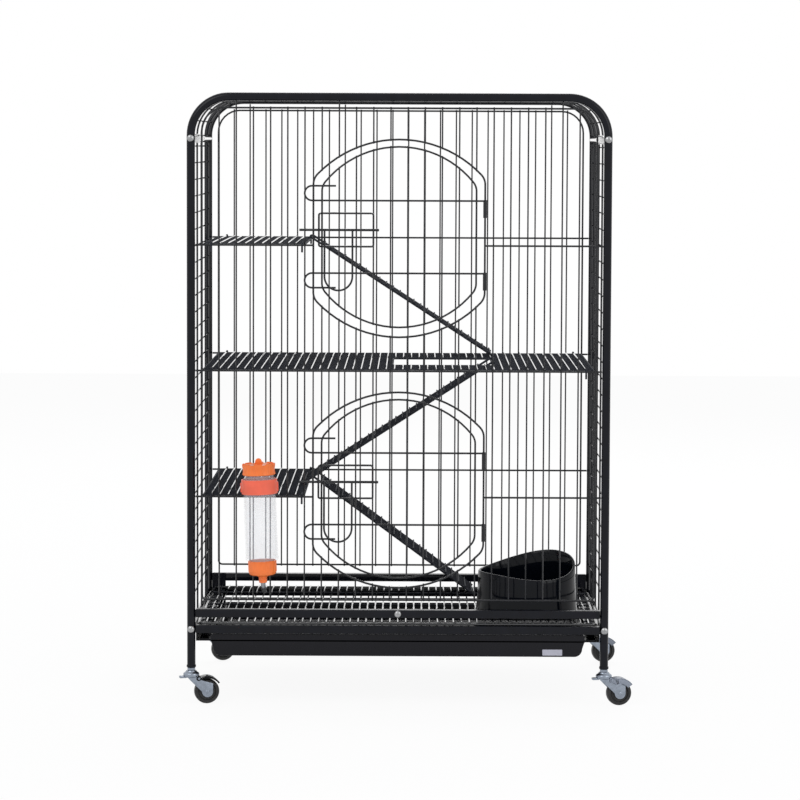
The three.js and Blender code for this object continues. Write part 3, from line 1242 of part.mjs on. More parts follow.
const bowlPlace = [LEG_X - BOWL_FROM_RIGHT, -LEG_Y + BOWL_FROM_FRONT, GRATE_TOP_Z + GAP];
piece("food_bowl", foodBowl().translate(bowlPlace), BLACK_PLASTIC);

export default cage;
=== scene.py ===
"""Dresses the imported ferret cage: round welded wires, bent tubes, casters, bottle, bowl, and their finishes.

Lengths are in metres. The frame (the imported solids) gives the places; the wires follow the same rules as
the solids do, with every close wire shown.
"""

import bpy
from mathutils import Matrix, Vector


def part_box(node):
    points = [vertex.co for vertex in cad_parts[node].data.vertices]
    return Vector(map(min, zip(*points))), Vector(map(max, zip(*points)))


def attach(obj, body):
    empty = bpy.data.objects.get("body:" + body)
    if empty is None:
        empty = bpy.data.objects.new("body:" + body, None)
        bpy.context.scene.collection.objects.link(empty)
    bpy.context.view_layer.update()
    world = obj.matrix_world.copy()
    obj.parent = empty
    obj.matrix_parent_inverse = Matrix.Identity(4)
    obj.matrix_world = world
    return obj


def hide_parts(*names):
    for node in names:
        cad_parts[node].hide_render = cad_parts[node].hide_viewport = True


bl_info = {
    "name": "Ferret cage",
    "version": (1, 0, 0),
    "blender": (4, 5, 0),
    "location": "View3D > Sidebar > Cage",
    "description": "Models a wire ferret cage on casters around its packed solids",
    "category": "Add Mesh",
}

from math import asin, atan2, copysign, cos, degrees, hypot, pi, radians, sin, sqrt, tan

import bmesh
import bpy
from bpy.props import FloatProperty, FloatVectorProperty, IntProperty, PointerProperty
from mathutils import Matrix, Vector

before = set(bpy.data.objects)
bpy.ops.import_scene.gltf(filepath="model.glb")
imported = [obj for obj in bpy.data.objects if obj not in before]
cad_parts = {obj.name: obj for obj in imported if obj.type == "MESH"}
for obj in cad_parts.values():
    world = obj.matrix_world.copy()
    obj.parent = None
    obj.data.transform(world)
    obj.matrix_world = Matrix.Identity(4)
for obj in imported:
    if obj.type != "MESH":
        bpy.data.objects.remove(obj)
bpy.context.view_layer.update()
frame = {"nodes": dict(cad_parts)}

MM = 0.001


# ---- places read from the frame


def low(node):
    """The lowest corner of a solid at rest."""
    return Vector(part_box(node)[0])


def high(node):
    """The highest corner of a solid at rest."""
    return Vector(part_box(node)[1])


def middle(node):
    """The middle of a solid's box at rest."""
    return (low(node) + high(node)) / 2


FACES = {"front": -1, "back": 1}
SIDES = {"left": -1, "right": 1}

LEG_X = middle("right_upper_bar").x
LEG_Y = -middle("front_lower_rail").y
TUBE_R = high("right_upper_bar").x - LEG_X
INNER_X = high("front_lower_rail").x
INNER_Y = high("right_upper_bar").y
CAGE_TOP = high("front_frame_tube").z
LEG_FOOT = low("front_frame_tube").z
SIDE_BAR_Z = middle("right_upper_bar").z
LOWER_RAIL_Z = middle("front_lower_rail").z
UPPER_RAIL_Z = middle("front_upper_rail").z
GAP = 0.3 * MM
WELD = 0.5 * MM
OVERRUN = 2 * MM  # how far a wire runs on past the one that it is welded to

ARCH_R = 58 * MM
ARCH_X = LEG_X - ARCH_R
ARCH_Z = CAGE_TOP - TUBE_R - ARCH_R

PANEL_HALF = LEG_X - TUBE_R - 10.2 * MM
PANEL_FOOT = low("front_panel").z + OVERRUN
PANEL_TOP = CAGE_TOP - 23 * MM
PANEL_HEIGHT = PANEL_TOP - PANEL_FOOT
BARS_Z = {name: PANEL_FOOT + share * PANEL_HEIGHT for name, share in
          (("upper", 0.723), ("middle", 0.468), ("lower", 0.211))}
PANEL_Y = -LEG_Y
RING_CORNER = 22 * MM
RING_RISE = 59 * MM
DOOR_RISE = 10.5 * MM  # a doorway's middle over the bar beside it
RING_HEIGHT = 0.4 * PANEL_HEIGHT
RING_BAYS = 10  # a doorway's width in bays of the end panel
EDGE_FOOT_R, EDGE_TOP_R = 6 * MM, 35 * MM  # corners of an end panel's edge wire
RAIL_EDGE = 1.6 * MM


# ---- what a user would change


def length(name, description, value):
    """A length that the user can change, given in millimetres."""
    return FloatProperty(name=name, description=description, default=value * MM, unit="LENGTH")


def colour(name, description, value):
    return FloatVectorProperty(name=name, description=description, default=value, subtype="COLOR", size=3,
                               min=0, max=1)


class CageSizes(bpy.types.PropertyGroup):
    """Sizes of the wires and of the spacing between them."""

    wire: length("Wire", "Thickness of the close wires", 2.3)
    bar: length("Bar", "Thickness of cross wires and door loops", 3)
    edge: length("Edge wire", "Thickness of edge wires", 3)
    ladder_wire: length("Ladder wire", "Thickness of a ladder's side wires", 3.5)
    end_bays: IntProperty(
        name="End bays", description="Spaces between an end panel's wires", default=23, min=3)
    side_pitch: length("Side pitch", "Spacing of the side grilles' wires", 25.4)
    deck_pitch: length("Deck pitch", "Spacing of the decks' wires, both ways", 12.7)
    grate_pitch: length("Grate pitch", "Spacing of the floor grate's close wires", 12)
    ladder_pitch: length("Ladder pitch", "Spacing of a ladder's rungs and long wires", 13.1)


class CageColours(bpy.types.PropertyGroup):
    """Colours of the finishes."""

    frame: colour("Frame", "Powder coat of the tubes", (0.0042, 0.0049, 0.0086))
    wires: colour("Wires", "Coating of the wires", (0.016, 0.0168, 0.0195))
    caps: colour("Bottle caps", "Plastic of the bottle's caps", (0.98, 0.215, 0.045))
    band: colour("Bottle band", "Plastic of the bottle's band", (0.92, 0.15, 0.085))
    pedals: colour("Pedals", "Plastic of the grey brake pedals", (0.26, 0.29, 0.35))


def sizes():
    return bpy.context.scene.cage_sizes


def colours():
    return bpy.context.scene.cage_colours


# ---- modelling helpers


def deselect():
    """Nothing selected, in object mode."""
    if bpy.context.object and bpy.context.object.mode != "OBJECT":
        bpy.ops.object.mode_set(mode="OBJECT")
    bpy.ops.object.select_all(action="DESELECT")


def pick(*objects):
    """Only these objects selected, the first one active."""
    deselect()
    for one in objects:
        one.select_set(True)
    bpy.context.view_layer.objects.active = objects[0]
    return objects[0]


def edit_all(one):
    """Opens a mesh for editing with all of it selected."""
    pick(one)
    bpy.ops.object.mode_set(mode="EDIT")
    bpy.ops.mesh.select_mode(type="VERT")
    bpy.ops.mesh.select_all(action="SELECT")


def close_up(one):
    """Merges doubled points and turns every face outwards."""
    edit_all(one)
    bpy.ops.mesh.remove_doubles(threshold=1e-6)
    bpy.ops.mesh.normals_make_consistent(inside=False)
    bpy.ops.object.mode_set(mode="OBJECT")
    return one


def settle(one):
    """Puts an object's place into its mesh."""
    pick(one)
    bpy.ops.object.transform_apply(location=True, rotation=True, scale=True)
    return one


def join(parts):
    """One object from several."""
    pick(*parts)
    if len(parts) > 1:
        bpy.ops.object.join()
    return settle(bpy.context.object)


def copy_of(one):
    """A copy with a mesh of its own."""
    pick(one)
    bpy.ops.object.duplicate(linked=False)
    return bpy.context.object


def shift(x, y, z):
    return Matrix.Translation((x, y, z))


def turned(angle, axis):
    return Matrix.Rotation(angle, 4, axis)


def moved(one, matrix):
    """The object with its points moved by a matrix."""
    one.matrix_world = matrix @ one.matrix_world
    return settle(one)


def remove(one):
    pick(one)
    bpy.ops.object.delete()


def arc(centre_u, centre_v, radius, from_deg, to_deg, steps):
    """Points (u, v) on an arc, both ends included."""
    angles = [radians(from_deg + (to_deg - from_deg) * i / steps) for i in range(steps + 1)]
    return [(centre_u + radius * cos(a), centre_v + radius * sin(a)) for a in angles]


def rounded(low_corner, high_corner, foot_r, top_r, steps=8):
    """A closed outline (u, v) with round corners."""
    (u0, v0), (u1, v1) = low_corner, high_corner
    return (arc(u1 - foot_r, v0 + foot_r, foot_r, -90, 0, steps)
            + arc(u1 - top_r, v1 - top_r, top_r, 0, 90, steps)
            + arc(u0 + top_r, v1 - top_r, top_r, 90, 180, steps)
            + arc(u0 + foot_r, v0 + foot_r, foot_r, 180, 270, steps))


def profile(points, base=0.0):
    """An outline (radius, height) given in millimetres over a base height."""
    return [(u * MM, base + v * MM) for u, v in points]


def in_xz(y, outline):
    return [Vector((u, y, v)) for u, v in outline]


def in_xy(z, outline):
    return [Vector((u, v, z)) for u, v in outline]


def along_x(x0, x1, y, z):
    return [Vector((x0, y, z)), Vector((x1, y, z))]


def along_y(x, y0, y1, z):
    return [Vector((x, y0, z)), Vector((x, y1, z))]


def along_z(x, y, z0, z1):
    return [Vector((x, y, z0)), Vector((x, y, z1))]


def wires(paths, radius, sides=8):
    """Round wires along paths, each a list of points, or (points, True) for a closed one."""
    deselect()
    bpy.ops.curve.primitive_bezier_curve_add(location=(0, 0, 0))
    made = bpy.context.object
    curve = made.data
    curve.splines.clear()
    for path in paths:
        points, closed = path if isinstance(path, tuple) else (path, False)
        spline = curve.splines.new("POLY")
        spline.points.add(len(points) - 1)
        for knot, place in zip(spline.points, points):
            knot.co = (*place, 1)
        spline.use_cyclic_u = closed
    curve.dimensions = "3D"
    curve.bevel_depth = radius
    curve.bevel_resolution = (sides - 4) // 2
    curve.use_fill_caps = True
    bpy.ops.object.convert(target="MESH")
    return close_up(bpy.context.object)


def turn(outline, steps=32, closed=False):
    """A body of revolution about Z from points (radius, height), drawn by extruding a point and spun."""
    deselect()
    bpy.ops.mesh.primitive_plane_add(size=MM, location=(0, 0, 0))
    made = bpy.context.object
    edit_all(made)
    bpy.ops.mesh.merge(type="CENTER")
    here = (0, 0)
    for k, there in enumerate([*outline, outline[0]] if closed else outline):
        step = (there[0] - here[0], 0, there[1] - here[1])
        if k:
            bpy.ops.mesh.extrude_vertices_move(TRANSFORM_OT_translate={"value": step})
        else:
            bpy.ops.transform.translate(value=step)
        here = there
    bpy.ops.mesh.select_all(action="SELECT")
    bpy.ops.mesh.remove_doubles(threshold=1e-7)
    bpy.ops.mesh.select_all(action="SELECT")
    bpy.ops.mesh.spin(steps=steps, angle=2 * pi, center=(0, 0, 0), axis=(0, 0, 1))
    return close_up(made)


def rod(radius, depth, place, sides, rotation=(0, 0, 0)):
    """A plain cylinder to cut with."""
    deselect()
    bpy.ops.mesh.primitive_cylinder_add(vertices=sides, radius=radius, depth=depth, location=place,
                                        rotation=rotation)
    return bpy.context.object


def plate(outline, thickness, bevel=0.3 * MM):
    """A plate in XZ from its outline, its middle at Y 0, with softened edges."""
    deselect()
    bpy.ops.mesh.primitive_circle_add(vertices=len(outline), radius=MM, fill_type="NGON")
    made = bpy.context.object
    for corner, (x, z) in zip(made.data.vertices, outline):
        corner.co = (x, -thickness / 2, z)
    edit_all(made)
    bpy.ops.mesh.extrude_region_move(TRANSFORM_OT_translate={"value": (0, thickness, 0)})
    bpy.ops.object.mode_set(mode="OBJECT")
    close_up(made)
    return soften(made, bevel) if bevel else made


def block(corner0, corner1, bevel=0.3 * MM):
    """A block between two corners with softened edges."""
    deselect()
    size = Vector(corner1) - Vector(corner0)
    bpy.ops.mesh.primitive_cube_add(size=1, location=(Vector(corner0) + Vector(corner1)) / 2)
    made = bpy.context.object
    made.scale = size
    settle(made)
    return soften(made, bevel) if bevel else made


def modify(one, kind, **settings):
    """Adds a modifier with its settings and applies it."""
    pick(one)
    bpy.ops.object.modifier_add(type=kind)
    modifier = one.modifiers[-1]
    for key, value in settings.items():
        setattr(modifier, key, value)
    bpy.ops.object.modifier_apply(modifier=modifier.name)
    return one


def soften(one, width, segments=2, angle=30):
    """Rounds the sharp edges a little."""
    return modify(one, "BEVEL", width=width, segments=segments, limit_method="ANGLE",
                  angle_limit=radians(angle))


def cut(one, tool):
    """Takes a tool's shape out of an object."""
    modify(one, "BOOLEAN", operation="DIFFERENCE", solver="EXACT", object=tool)
    remove(tool)
    return one


def hand_over(one, name, finish, body, nodes, smooth_deg=40):
    """Names, shades and finishes a piece, ties it to its body and hides the solids that it stands for."""
    settle(one)
    one.name = name
    one.data.name = name
    one.data.materials.clear()
    one.data.materials.append(finishes()[finish])
    pick(one)
    bpy.ops.object.shade_smooth_by_angle(angle=radians(smooth_deg))
    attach(one, body)
    if nodes:
        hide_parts(*nodes)
    return one


# ---- finishes


def fill(tree, socket, value):
    """Sets an input, or links it where the value is another node's output."""
    if isinstance(value, bpy.types.NodeSocket):
        tree.links.new(value, socket)
    else:
        socket.default_value = value


def add_node(tree, kind, **inputs):
    node = tree.nodes.new(f"ShaderNode{kind}")
    for key, value in inputs.items():
        fill(tree, node.inputs[key.replace("_", " ")], value)
    return node


def mix_into(tree, output, share, first, second):
    """Mixes two shaders by a share, as the tree's output."""
    mix = add_node(tree, "MixShader", Fac=share)
    tree.links.new(first, mix.inputs[1])
    tree.links.new(second, mix.inputs[2])
    tree.links.new(mix.outputs["Shader"], tree.nodes[output].inputs["Surface"])


class Finish:
    """Builds a node material on Object coordinates, one noise layer at a time."""

    def __init__(self, name, **shader):
        self.material = bpy.data.materials.new(name)
        self.material.use_nodes = True
        self.tree = self.material.node_tree
        self.shader = self.tree.nodes["Principled BSDF"]
        for key, value in shader.items():
            self.set(key.replace("_", " "), value)
        self.place = add_node(self.tree, "TexCoord").outputs["Object"]

    def set(self, socket, value):
        fill(self.tree, self.shader.inputs[socket], value)
        return self

    def noise(self, scale, detail=2.0, stretch=(1, 1, 1)):
        place = add_node(self.tree, "Mapping", Vector=self.place, Scale=stretch).outputs["Vector"]
        return add_node(self.tree, "TexNoise", Vector=place, Scale=scale, Detail=detail).outputs["Fac"]

    def tint(self, factor, dark, light):
        """Base colour between two tones by a noise."""
        ramp = add_node(self.tree, "ValToRGB", Fac=factor)
        for element, spot, tone in zip(ramp.color_ramp.elements, (0.35, 0.65), (dark, light)):
            element.position = spot
            element.color = (*tone, 1)
        return self.set("Base Color", ramp.outputs["Color"])

    def sheen_range(self, factor, low_value, high_value):
        """Roughness between two values by a noise."""
        spread = add_node(self.tree, "MapRange", Value=factor, From_Min=0.3, From_Max=0.7, To_Min=low_value,
                          To_Max=high_value)
        return self.set("Roughness", spread.outputs["Result"])

    def relief(self, factor, strength, distance):
        bump = add_node(self.tree, "Bump", Height=factor, Strength=strength, Distance=distance)
        return self.set("Normal", bump.outputs["Normal"])


def shades(colour, spread=0.12):
    """A darker and a lighter tone of one colour."""
    dark = tuple(channel * (1 - spread) for channel in colour)
    light = tuple(min(1, channel * (1 + spread)) for channel in colour)
    return dark, light


def powder_coat(name, colour, low_rough, high_rough, specular=0.19, coat=0.0):
    finish = Finish(name, Metallic=0.0, Specular_IOR_Level=specular, Coat_Weight=coat)
    finish.tint(finish.noise(60), *shades(colour, 0.18))
    finish.sheen_range(finish.noise(160, 3), low_rough, high_rough)
    return finish.relief(finish.noise(700, 2), 0.06, 0.04 * MM).material


def bright_zinc(name, colour):
    finish = Finish(name, Metallic=1.0)
    finish.tint(finish.noise(220, 3), *shades(colour, 0.1))
    finish.sheen_range(finish.noise(500, 3, (1, 1, 0.2)), 0.2, 0.38)
    return finish.relief(finish.noise(900, 2, (1, 1, 0.15)), 0.1, 0.04 * MM).material


def moulded(name, colour, low_rough, high_rough, grain=0.12, specular=0.4):
    finish = Finish(name, Metallic=0.0, Specular_IOR_Level=specular)
    finish.tint(finish.noise(45), *shades(colour, 0.06))
    finish.sheen_range(finish.noise(120, 3), low_rough, high_rough)
    return finish.relief(finish.noise(1800, 2), grain, 0.05 * MM).material


def tyre_rubber(name):
    finish = Finish(name, Metallic=0.0, Specular_IOR_Level=0.4)
    finish.tint(finish.noise(180, 4), (0.008, 0.008, 0.009), (0.022, 0.021, 0.02))
    finish.sheen_range(finish.noise(300, 3), 0.38, 0.6)
    return finish.relief(finish.noise(1500, 3), 0.25, 0.08 * MM).material


def clear_plastic(name):
    finish = Finish(name, Metallic=0.0, Alpha=0.14, IOR=1.45)
    finish.tint(finish.noise(40), (0.9, 0.92, 0.97), (0.95, 0.96, 1.0))
    return finish.sheen_range(finish.noise(90, 2), 0.04, 0.1).material


def finishes():
    """Every finish by its name, made once."""
    made = bpy.data.materials.get("cage_powder_coat")
    if not made:
        tone = colours()
        powder_coat("cage_powder_coat", tuple(tone.frame), 0.1, 0.18)
        powder_coat("cage_wire_coat", tuple(tone.wires), 0.05, 0.1, 0.3)
        powder_coat("cage_gloss_coat", tuple(tone.wires), 0.04, 0.08, 0.4, 1.0)
        # A rougher copy of the wire coat for ladders and cross wires: its paler grey base is painted sheen,
        # standing in for the grey of the glossy wires in the light
        powder_coat("cage_rough_coat_painted_sheen", (0.026, 0.028, 0.035), 0.7, 0.8, 0.12)
        bright_zinc("caster_zinc", (0.27, 0.305, 0.36))
        bright_zinc("screw_zinc", (0.34, 0.345, 0.35))
        bright_zinc("spout_steel", (0.07, 0.072, 0.078))
        tyre_rubber("caster_rubber")
        moulded("black_gloss_plastic", (0.002, 0.003, 0.0055), 0.06, 0.12, 0.03, 0.16)
        moulded("tray_plastic", (0.005, 0.005, 0.008), 0.2, 0.3, 0.06, 0.2)
        moulded("pedal_grey_plastic", tuple(tone.pedals), 0.35, 0.5)
        moulded("cap_orange_plastic", tuple(tone.caps), 0.28, 0.42)
        moulded("band_orange_plastic", tuple(tone.band), 0.28, 0.42)
        moulded("blank_label", (0.5, 0.5, 0.58), 0.5, 0.6, 0.05)
        clear_plastic("bottle_clear_plastic")
    return bpy.data.materials


# ---- frame


class Piece:
    """What the operators share: each builds its piece and says that it is done."""

    def execute(self, context):
        self.build()
        return {"FINISHED"}


def foot_cap(x, y):
    """The black sleeve at a leg's foot, round the caster's stem."""
    wall, bore = TUBE_R / MM + 0.9, 4.3
    outline = profile([(bore, 0), (wall - 0.6, 0), (wall, 0.7), (wall, 3.2), (wall - 0.7, 4), (bore, 4)])
    return moved(turn(outline, 24, closed=True), shift(x, y, LEG_FOOT))


class CAGE_OT_frame_tubes(Piece, bpy.types.Operator):
    """Bent tubes of the frame: an arch with two legs at the front and at the back"""

    bl_idname = "cage.frame_tubes"
    bl_label = "Frame tubes"

    def build(self):
        for face_name, face in FACES.items():
            y = face * LEG_Y
            bends = (arc(ARCH_X, ARCH_Z, ARCH_R, 0, 90, 16)
                     + arc(-ARCH_X, ARCH_Z, ARCH_R, 90, 180, 16))
            outline = [(LEG_X, LEG_FOOT), *bends, (-LEG_X, LEG_FOOT)]
            tube = wires([in_xz(y, outline)], TUBE_R, 24)
            caps = [foot_cap(side * LEG_X, y) for side in SIDES.values()]
            hand_over(join([tube, *caps]), f"{face_name}_bent_tube", "cage_powder_coat", "cage",
                      [f"{face_name}_frame_tube"])


def rail_done(made, node, coat):
    hand_over(made, f"{node}_tube", coat, "cage", [node])


class CAGE_OT_rails(Piece, bpy.types.Operator):
    """Straight tubes: base rails and side bars, with their ends closed"""

    bl_idname = "cage.rails"
    bl_label = "Rails and side bars"

    def build(self):
        for face_name, face in FACES.items():
            for level, z in (("upper", UPPER_RAIL_Z), ("lower", LOWER_RAIL_Z)):
                y = face * LEG_Y
                made = block((-INNER_X, y - TUBE_R, z - TUBE_R), (INNER_X, y + TUBE_R, z + TUBE_R), RAIL_EDGE)
                rail_done(made, f"{face_name}_{level}_rail", "cage_powder_coat")
        for side_name, side in SIDES.items():
            for level, z in (("upper", SIDE_BAR_Z), ("lower", LOWER_RAIL_Z)):
                ends = along_y(side * LEG_X, -INNER_Y, INNER_Y, z)
                made = soften(wires([ends], TUBE_R, 24), 0.5 * MM, 3, 60)
                rail_done(made, f"{side_name}_{level}_bar", "cage_gloss_coat")


class CAGE_OT_runners(Piece, bpy.types.Operator):
    """Base runners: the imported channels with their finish"""

    bl_idname = "cage.runners"
    bl_label = "Base runners"

    def build(self):
        for side_name in SIDES:
            solid = frame["nodes"][f"{side_name}_base_runner"]
            solid.data.materials.clear()
            solid.data.materials.append(finishes()["cage_powder_coat"])


def domed_screw(head_r, reach):
    """A screw along Z with the top of its dome at 0 and its shank below."""
    dome, shank, socket = 3 * MM, 2 * MM, 1.9 * MM
    crown = 0.75 * dome
    shank_side = [(0, -reach), (shank, -reach), (shank, -dome), (head_r, -dome), (head_r, -crown)]
    bulge = [(head_r * cos(a), crown * sin(a) - crown) for a in (0.35, 0.7, 1.05)]
    hollow = [(socket + 0.3 * MM, -0.06 * MM), (socket, -0.3 * MM), (socket, -1.5 * MM), (0, -1.7 * MM)]
    return turn(shank_side + bulge + hollow, 24)


class CAGE_OT_screws(Piece, bpy.types.Operator):
    """Domed screws with a socket, one modelled and copied to every joint of the frame"""

    bl_idname = "cage.screws"
    bl_label = "Frame screws"

    def build(self):
        nodes = [f"{face}_{side}_{level}_screw" for face in FACES for side in SIDES
                 for level in ("upper", "lower")] + ["front_rail_screw"]
        for node in nodes:
            face = -1 if node.startswith("front") else 1
            size = high(node) - low(node)
            head = domed_screw(size.z / 2, size.y)
            seat = low(node).y if face < 0 else high(node).y
            place = shift(middle(node).x, seat, middle(node).z)
            lay = turned(radians(90 if face < 0 else -90), "X")
            hand_over(moved(head, place @ lay), f"{node}_domed", "screw_zinc", "cage", [node])


# ---- wire panels


def barrel(half, foot, top, fillet_steps=8, arch_steps=22):
    """A barrel outline and the height of its arched ends at any X."""
    rise = RING_RISE
    radius = (half * half + rise * rise) / (2 * rise)
    arch_z = top - radius
    fillet_x = half - RING_CORNER
    fillet_z = arch_z + sqrt((radius - RING_CORNER) ** 2 - fillet_x ** 2)
    lean = degrees(atan2(fillet_z - arch_z, fillet_x))
    upper = (arc(fillet_x, fillet_z, RING_CORNER, 0, lean, fillet_steps)
             + arc(0, arch_z, radius, lean, 180 - lean, arch_steps)[1:-1]
             + arc(-fillet_x, fillet_z, RING_CORNER, 180 - lean, 180, fillet_steps))
    centre = (foot + top) / 2

    def top_at(x):
        reach = abs(x)
        if reach <= fillet_x + RING_CORNER * cos(radians(lean)):
            return arch_z + sqrt(radius ** 2 - x ** 2)
        return fillet_z + sqrt(RING_CORNER ** 2 - (reach - fillet_x) ** 2)

    points = upper + [(-x, 2 * centre - z) for x, z in upper]
    return points, top_at, lambda x: 2 * centre - top_at(x)


def places(half, bays):
    """Even places from -half to half."""
    return [-half + 2 * half * i / bays for i in range(bays + 1)]


def welded():
    """Distance between the axes of a bar and of a close wire welded across it."""
    return sizes().bar / 2 + sizes().wire / 2 - WELD


def ring_half():
    return RING_BAYS * PANEL_HALF / sizes().end_bays


def door_centres():
    return {name: BARS_Z[name] + DOOR_RISE for name in ("upper", "lower")}


def end_panel(face_name, face, rings):
    y = face * LEG_Y
    wire_y = y - face * welded()
    size = sizes()
    edge = rounded((-PANEL_HALF, PANEL_FOOT), (PANEL_HALF, PANEL_TOP), EDGE_FOOT_R, EDGE_TOP_R)
    parts = [wires([(in_xz(y, edge), True)], size.edge / 2, 10)]
    if rings:
        loops = [(in_xz(y, points), True) for points, _, _ in rings]
        parts.append(wires(loops, size.bar / 2 + 0.05 * MM, 10))
    xs = places(PANEL_HALF, size.end_bays)
    hung = (2, 8, size.end_bays - 2)
    uprights = []
    for i, x in enumerate(xs[1:-1], 1):
        foot = PANEL_FOOT - OVERRUN
        if abs(x) < ring_half():
            for _, top_at, foot_at in rings:
                uprights.append(along_z(x, wire_y, foot, foot_at(x) + OVERRUN))
                foot = top_at(x) - OVERRUN
        head = CAGE_TOP - 2 * TUBE_R - GAP if i in hung else PANEL_TOP + OVERRUN
        uprights.append(along_z(x, wire_y, foot, head))
    parts.append(wires(uprights, size.wire / 2, 8))
    bars = []
    for level, z in BARS_Z.items():
        inner = ring_half() if rings and level in door_centres() else 0
        spans = [(-INNER_X, -inner), (inner, INNER_X)] if inner else [(-INNER_X, INNER_X)]
        bars += [along_x(a, b, y, z) for a, b in spans]
    parts.append(wires(bars, size.bar / 2, 10))
    hand_over(join(parts), f"{face_name}_wire_panel", "cage_wire_coat", "cage",
              [f"{face_name}_panel"])


class CAGE_OT_end_panels(Piece, bpy.types.Operator):
    """Front and back wire panels: edge wire, close wires, cross bars and the rings of the doorways"""

    bl_idname = "cage.end_panels"
    bl_label = "End panels"

    def build(self):
        rings = [barrel(ring_half(), z - RING_HEIGHT / 2, z + RING_HEIGHT / 2)
                 for z in sorted(door_centres().values())]
        end_panel("front", -1, rings)
        end_panel("back", 1, [])


GRILLE_INSET = 14 * MM
GRILLE_FIRST = 38.8 * MM  # the lowest close wire over the grille's foot
UPRIGHT_BAYS = 4


def top_grille(ys):
    size = sizes()
    bend = ARCH_R - welded()
    foot = SIDE_BAR_Z + TUBE_R + GAP
    start = degrees(asin((foot - ARCH_Z) / bend))
    half = arc(ARCH_X, ARCH_Z, bend, start, 90, 12)
    outline = half + [(-x, z) for x, z in reversed(half)]
    bars = wires([in_xz(y, outline) for y in ys], size.bar / 2)
    flat = [(x, ARCH_Z + ARCH_R) for x in places(PANEL_HALF, size.end_bays) if abs(x) < ARCH_X]
    corner = arc(0, 0, ARCH_R, 0, 90, 4)[1:-1]
    around = [(s * (ARCH_X + u), ARCH_Z + v) for u, v in corner for s in (-1, 1)]
    across = wires([along_y(x, -INNER_Y, INNER_Y, z) for x, z in flat + around], size.wire / 2)
    hand_over(join([bars, across]), "top_wire_grille", "cage_wire_coat", "cage", ["top_grille"])


class CAGE_OT_grilles(Piece, bpy.types.Operator):
    """Side grilles and the top grille that follows the arches"""

    bl_idname = "cage.grilles"
    bl_label = "Side and top grilles"

    def build(self):
        size = sizes()
        ys = places(LEG_Y - GRILLE_INSET, UPRIGHT_BAYS)
        foot, head = low("left_grille").z, high("left_grille").z
        first = foot + GRILLE_FIRST
        rows = int((head - size.bar / 2 - first) / size.side_pitch)
        for side_name, side in SIDES.items():
            x = side * LEG_X
            bar_x = x - side * welded()
            bars = wires([along_z(bar_x, y, foot, head) for y in ys], size.bar / 2)
            rungs = wires([along_y(x, -INNER_Y, INNER_Y, first + i * size.side_pitch)
                           for i in range(rows + 1)], size.wire / 2)
            hand_over(join([bars, rungs]), f"{side_name}_wire_grille", "cage_wire_coat", "cage",
                      [f"{side_name}_grille"])
        top_grille(ys)


# ---- doors and latches


STOP_R = 11 * MM
STOP_LENGTH = 13 * MM
STOP_RETURN = 36 * MM
CLIP_HEIGHT = 27 * MM
GUIDE_Z = 12.8 * MM
GUIDE_WIDTH = 82 * MM
GUIDE_HEIGHT = 50 * MM
GUIDE_CORNER = 3 * MM
LATCH_R = 1.9 * MM
LATCH_START, LATCH_LENGTH = 21 * MM, 118 * MM
PULL_DROP, PULL_BEND = 91 * MM, 21 * MM
DOOR_BARS = (57 * MM, -52.2 * MM)
DOOR_FOOT_GAP, DOOR_HEAD_GAP, DOOR_SIDE_GAP = 15 * MM, 11 * MM, 13 * MM


def door_bar_y():
    return PANEL_Y - sizes().bar - GAP


def door_loop_y():
    return door_bar_y() + sizes().bar - WELD


def latch_y():
    return door_loop_y() - sizes().bar / 2 - GAP - LATCH_R


def keeper_y():
    return latch_y() - LATCH_R - GAP - sizes().bar / 2


def door_half():
    return ring_half() - DOOR_SIDE_GAP


def wire_door(centre_z):
    size = sizes()
    loop, top_at, foot_at = barrel(door_half(), centre_z - RING_HEIGHT / 2 + DOOR_FOOT_GAP,
                                   centre_z + RING_HEIGHT / 2 - DOOR_HEAD_GAP)
    parts = [wires([(in_xz(door_loop_y(), loop), True)], size.bar / 2, 10)]
    wire_y = door_loop_y() + welded()
    xs = [x for x in places(PANEL_HALF, size.end_bays) if abs(x) < door_half() - 2 * size.bar]
    parts.append(wires([along_z(x, wire_y, foot_at(x) - OVERRUN, top_at(x) + OVERRUN)
                        for x in xs], size.wire / 2))
    bars = []
    for offset in DOOR_BARS:
        z, curl = centre_z + offset, copysign(1, offset)
        bend_x = -ring_half() - STOP_LENGTH + STOP_R
        curve = arc(bend_x, z + curl * STOP_R, STOP_R, -curl * 90, -curl * 270, 16)
        end = (bend_x + STOP_RETURN, z + 2 * curl * STOP_R)
        start = (ring_half() - size.bar / 2, z)
        bars.append(in_xz(door_bar_y(), (start, *curve, end)))
        parts.append(hinge_clip(z))
    parts.append(wires(bars, size.bar / 2, 10))
    parts.append(latch_guide(centre_z + GUIDE_Z))
    return join(parts)


def hinge_clip(bar_z):
    """A sheet clip wrapped round the ring, with softened rims."""
    bore = sizes().bar / 2 + 0.4 * MM
    wall = bore + 1.0 * MM
    foot, head = bar_z - CLIP_HEIGHT + sizes().bar / 2, bar_z + sizes().bar / 2
    rim = 0.3 * MM
    profile = [(bore, foot), (wall - rim, foot), (wall, foot + rim), (wall, head - rim),
               (wall - rim, head), (bore, head)]
    return moved(turn(profile, 16, closed=True), shift(ring_half(), PANEL_Y, 0))


def latch_guide(z):
    """The wire loop whose sides stand forward over the slide bar."""
    left = -door_half() - 4.5 * MM
    right = left + GUIDE_WIDTH
    outline = rounded((left, z - GUIDE_HEIGHT / 2), (right, z + GUIDE_HEIGHT / 2),
                      GUIDE_CORNER, GUIDE_CORNER, 6)

    def bowed(x):
        reach = min(x - left, right - x) / GUIDE_CORNER
        share = max(0.0, 1 - reach)
        share = share * share * (3 - 2 * share)
        return door_loop_y() + (keeper_y() - door_loop_y()) * share

    return wires([([Vector((x, bowed(x), pz)) for x, pz in outline], True)], sizes().bar / 2)


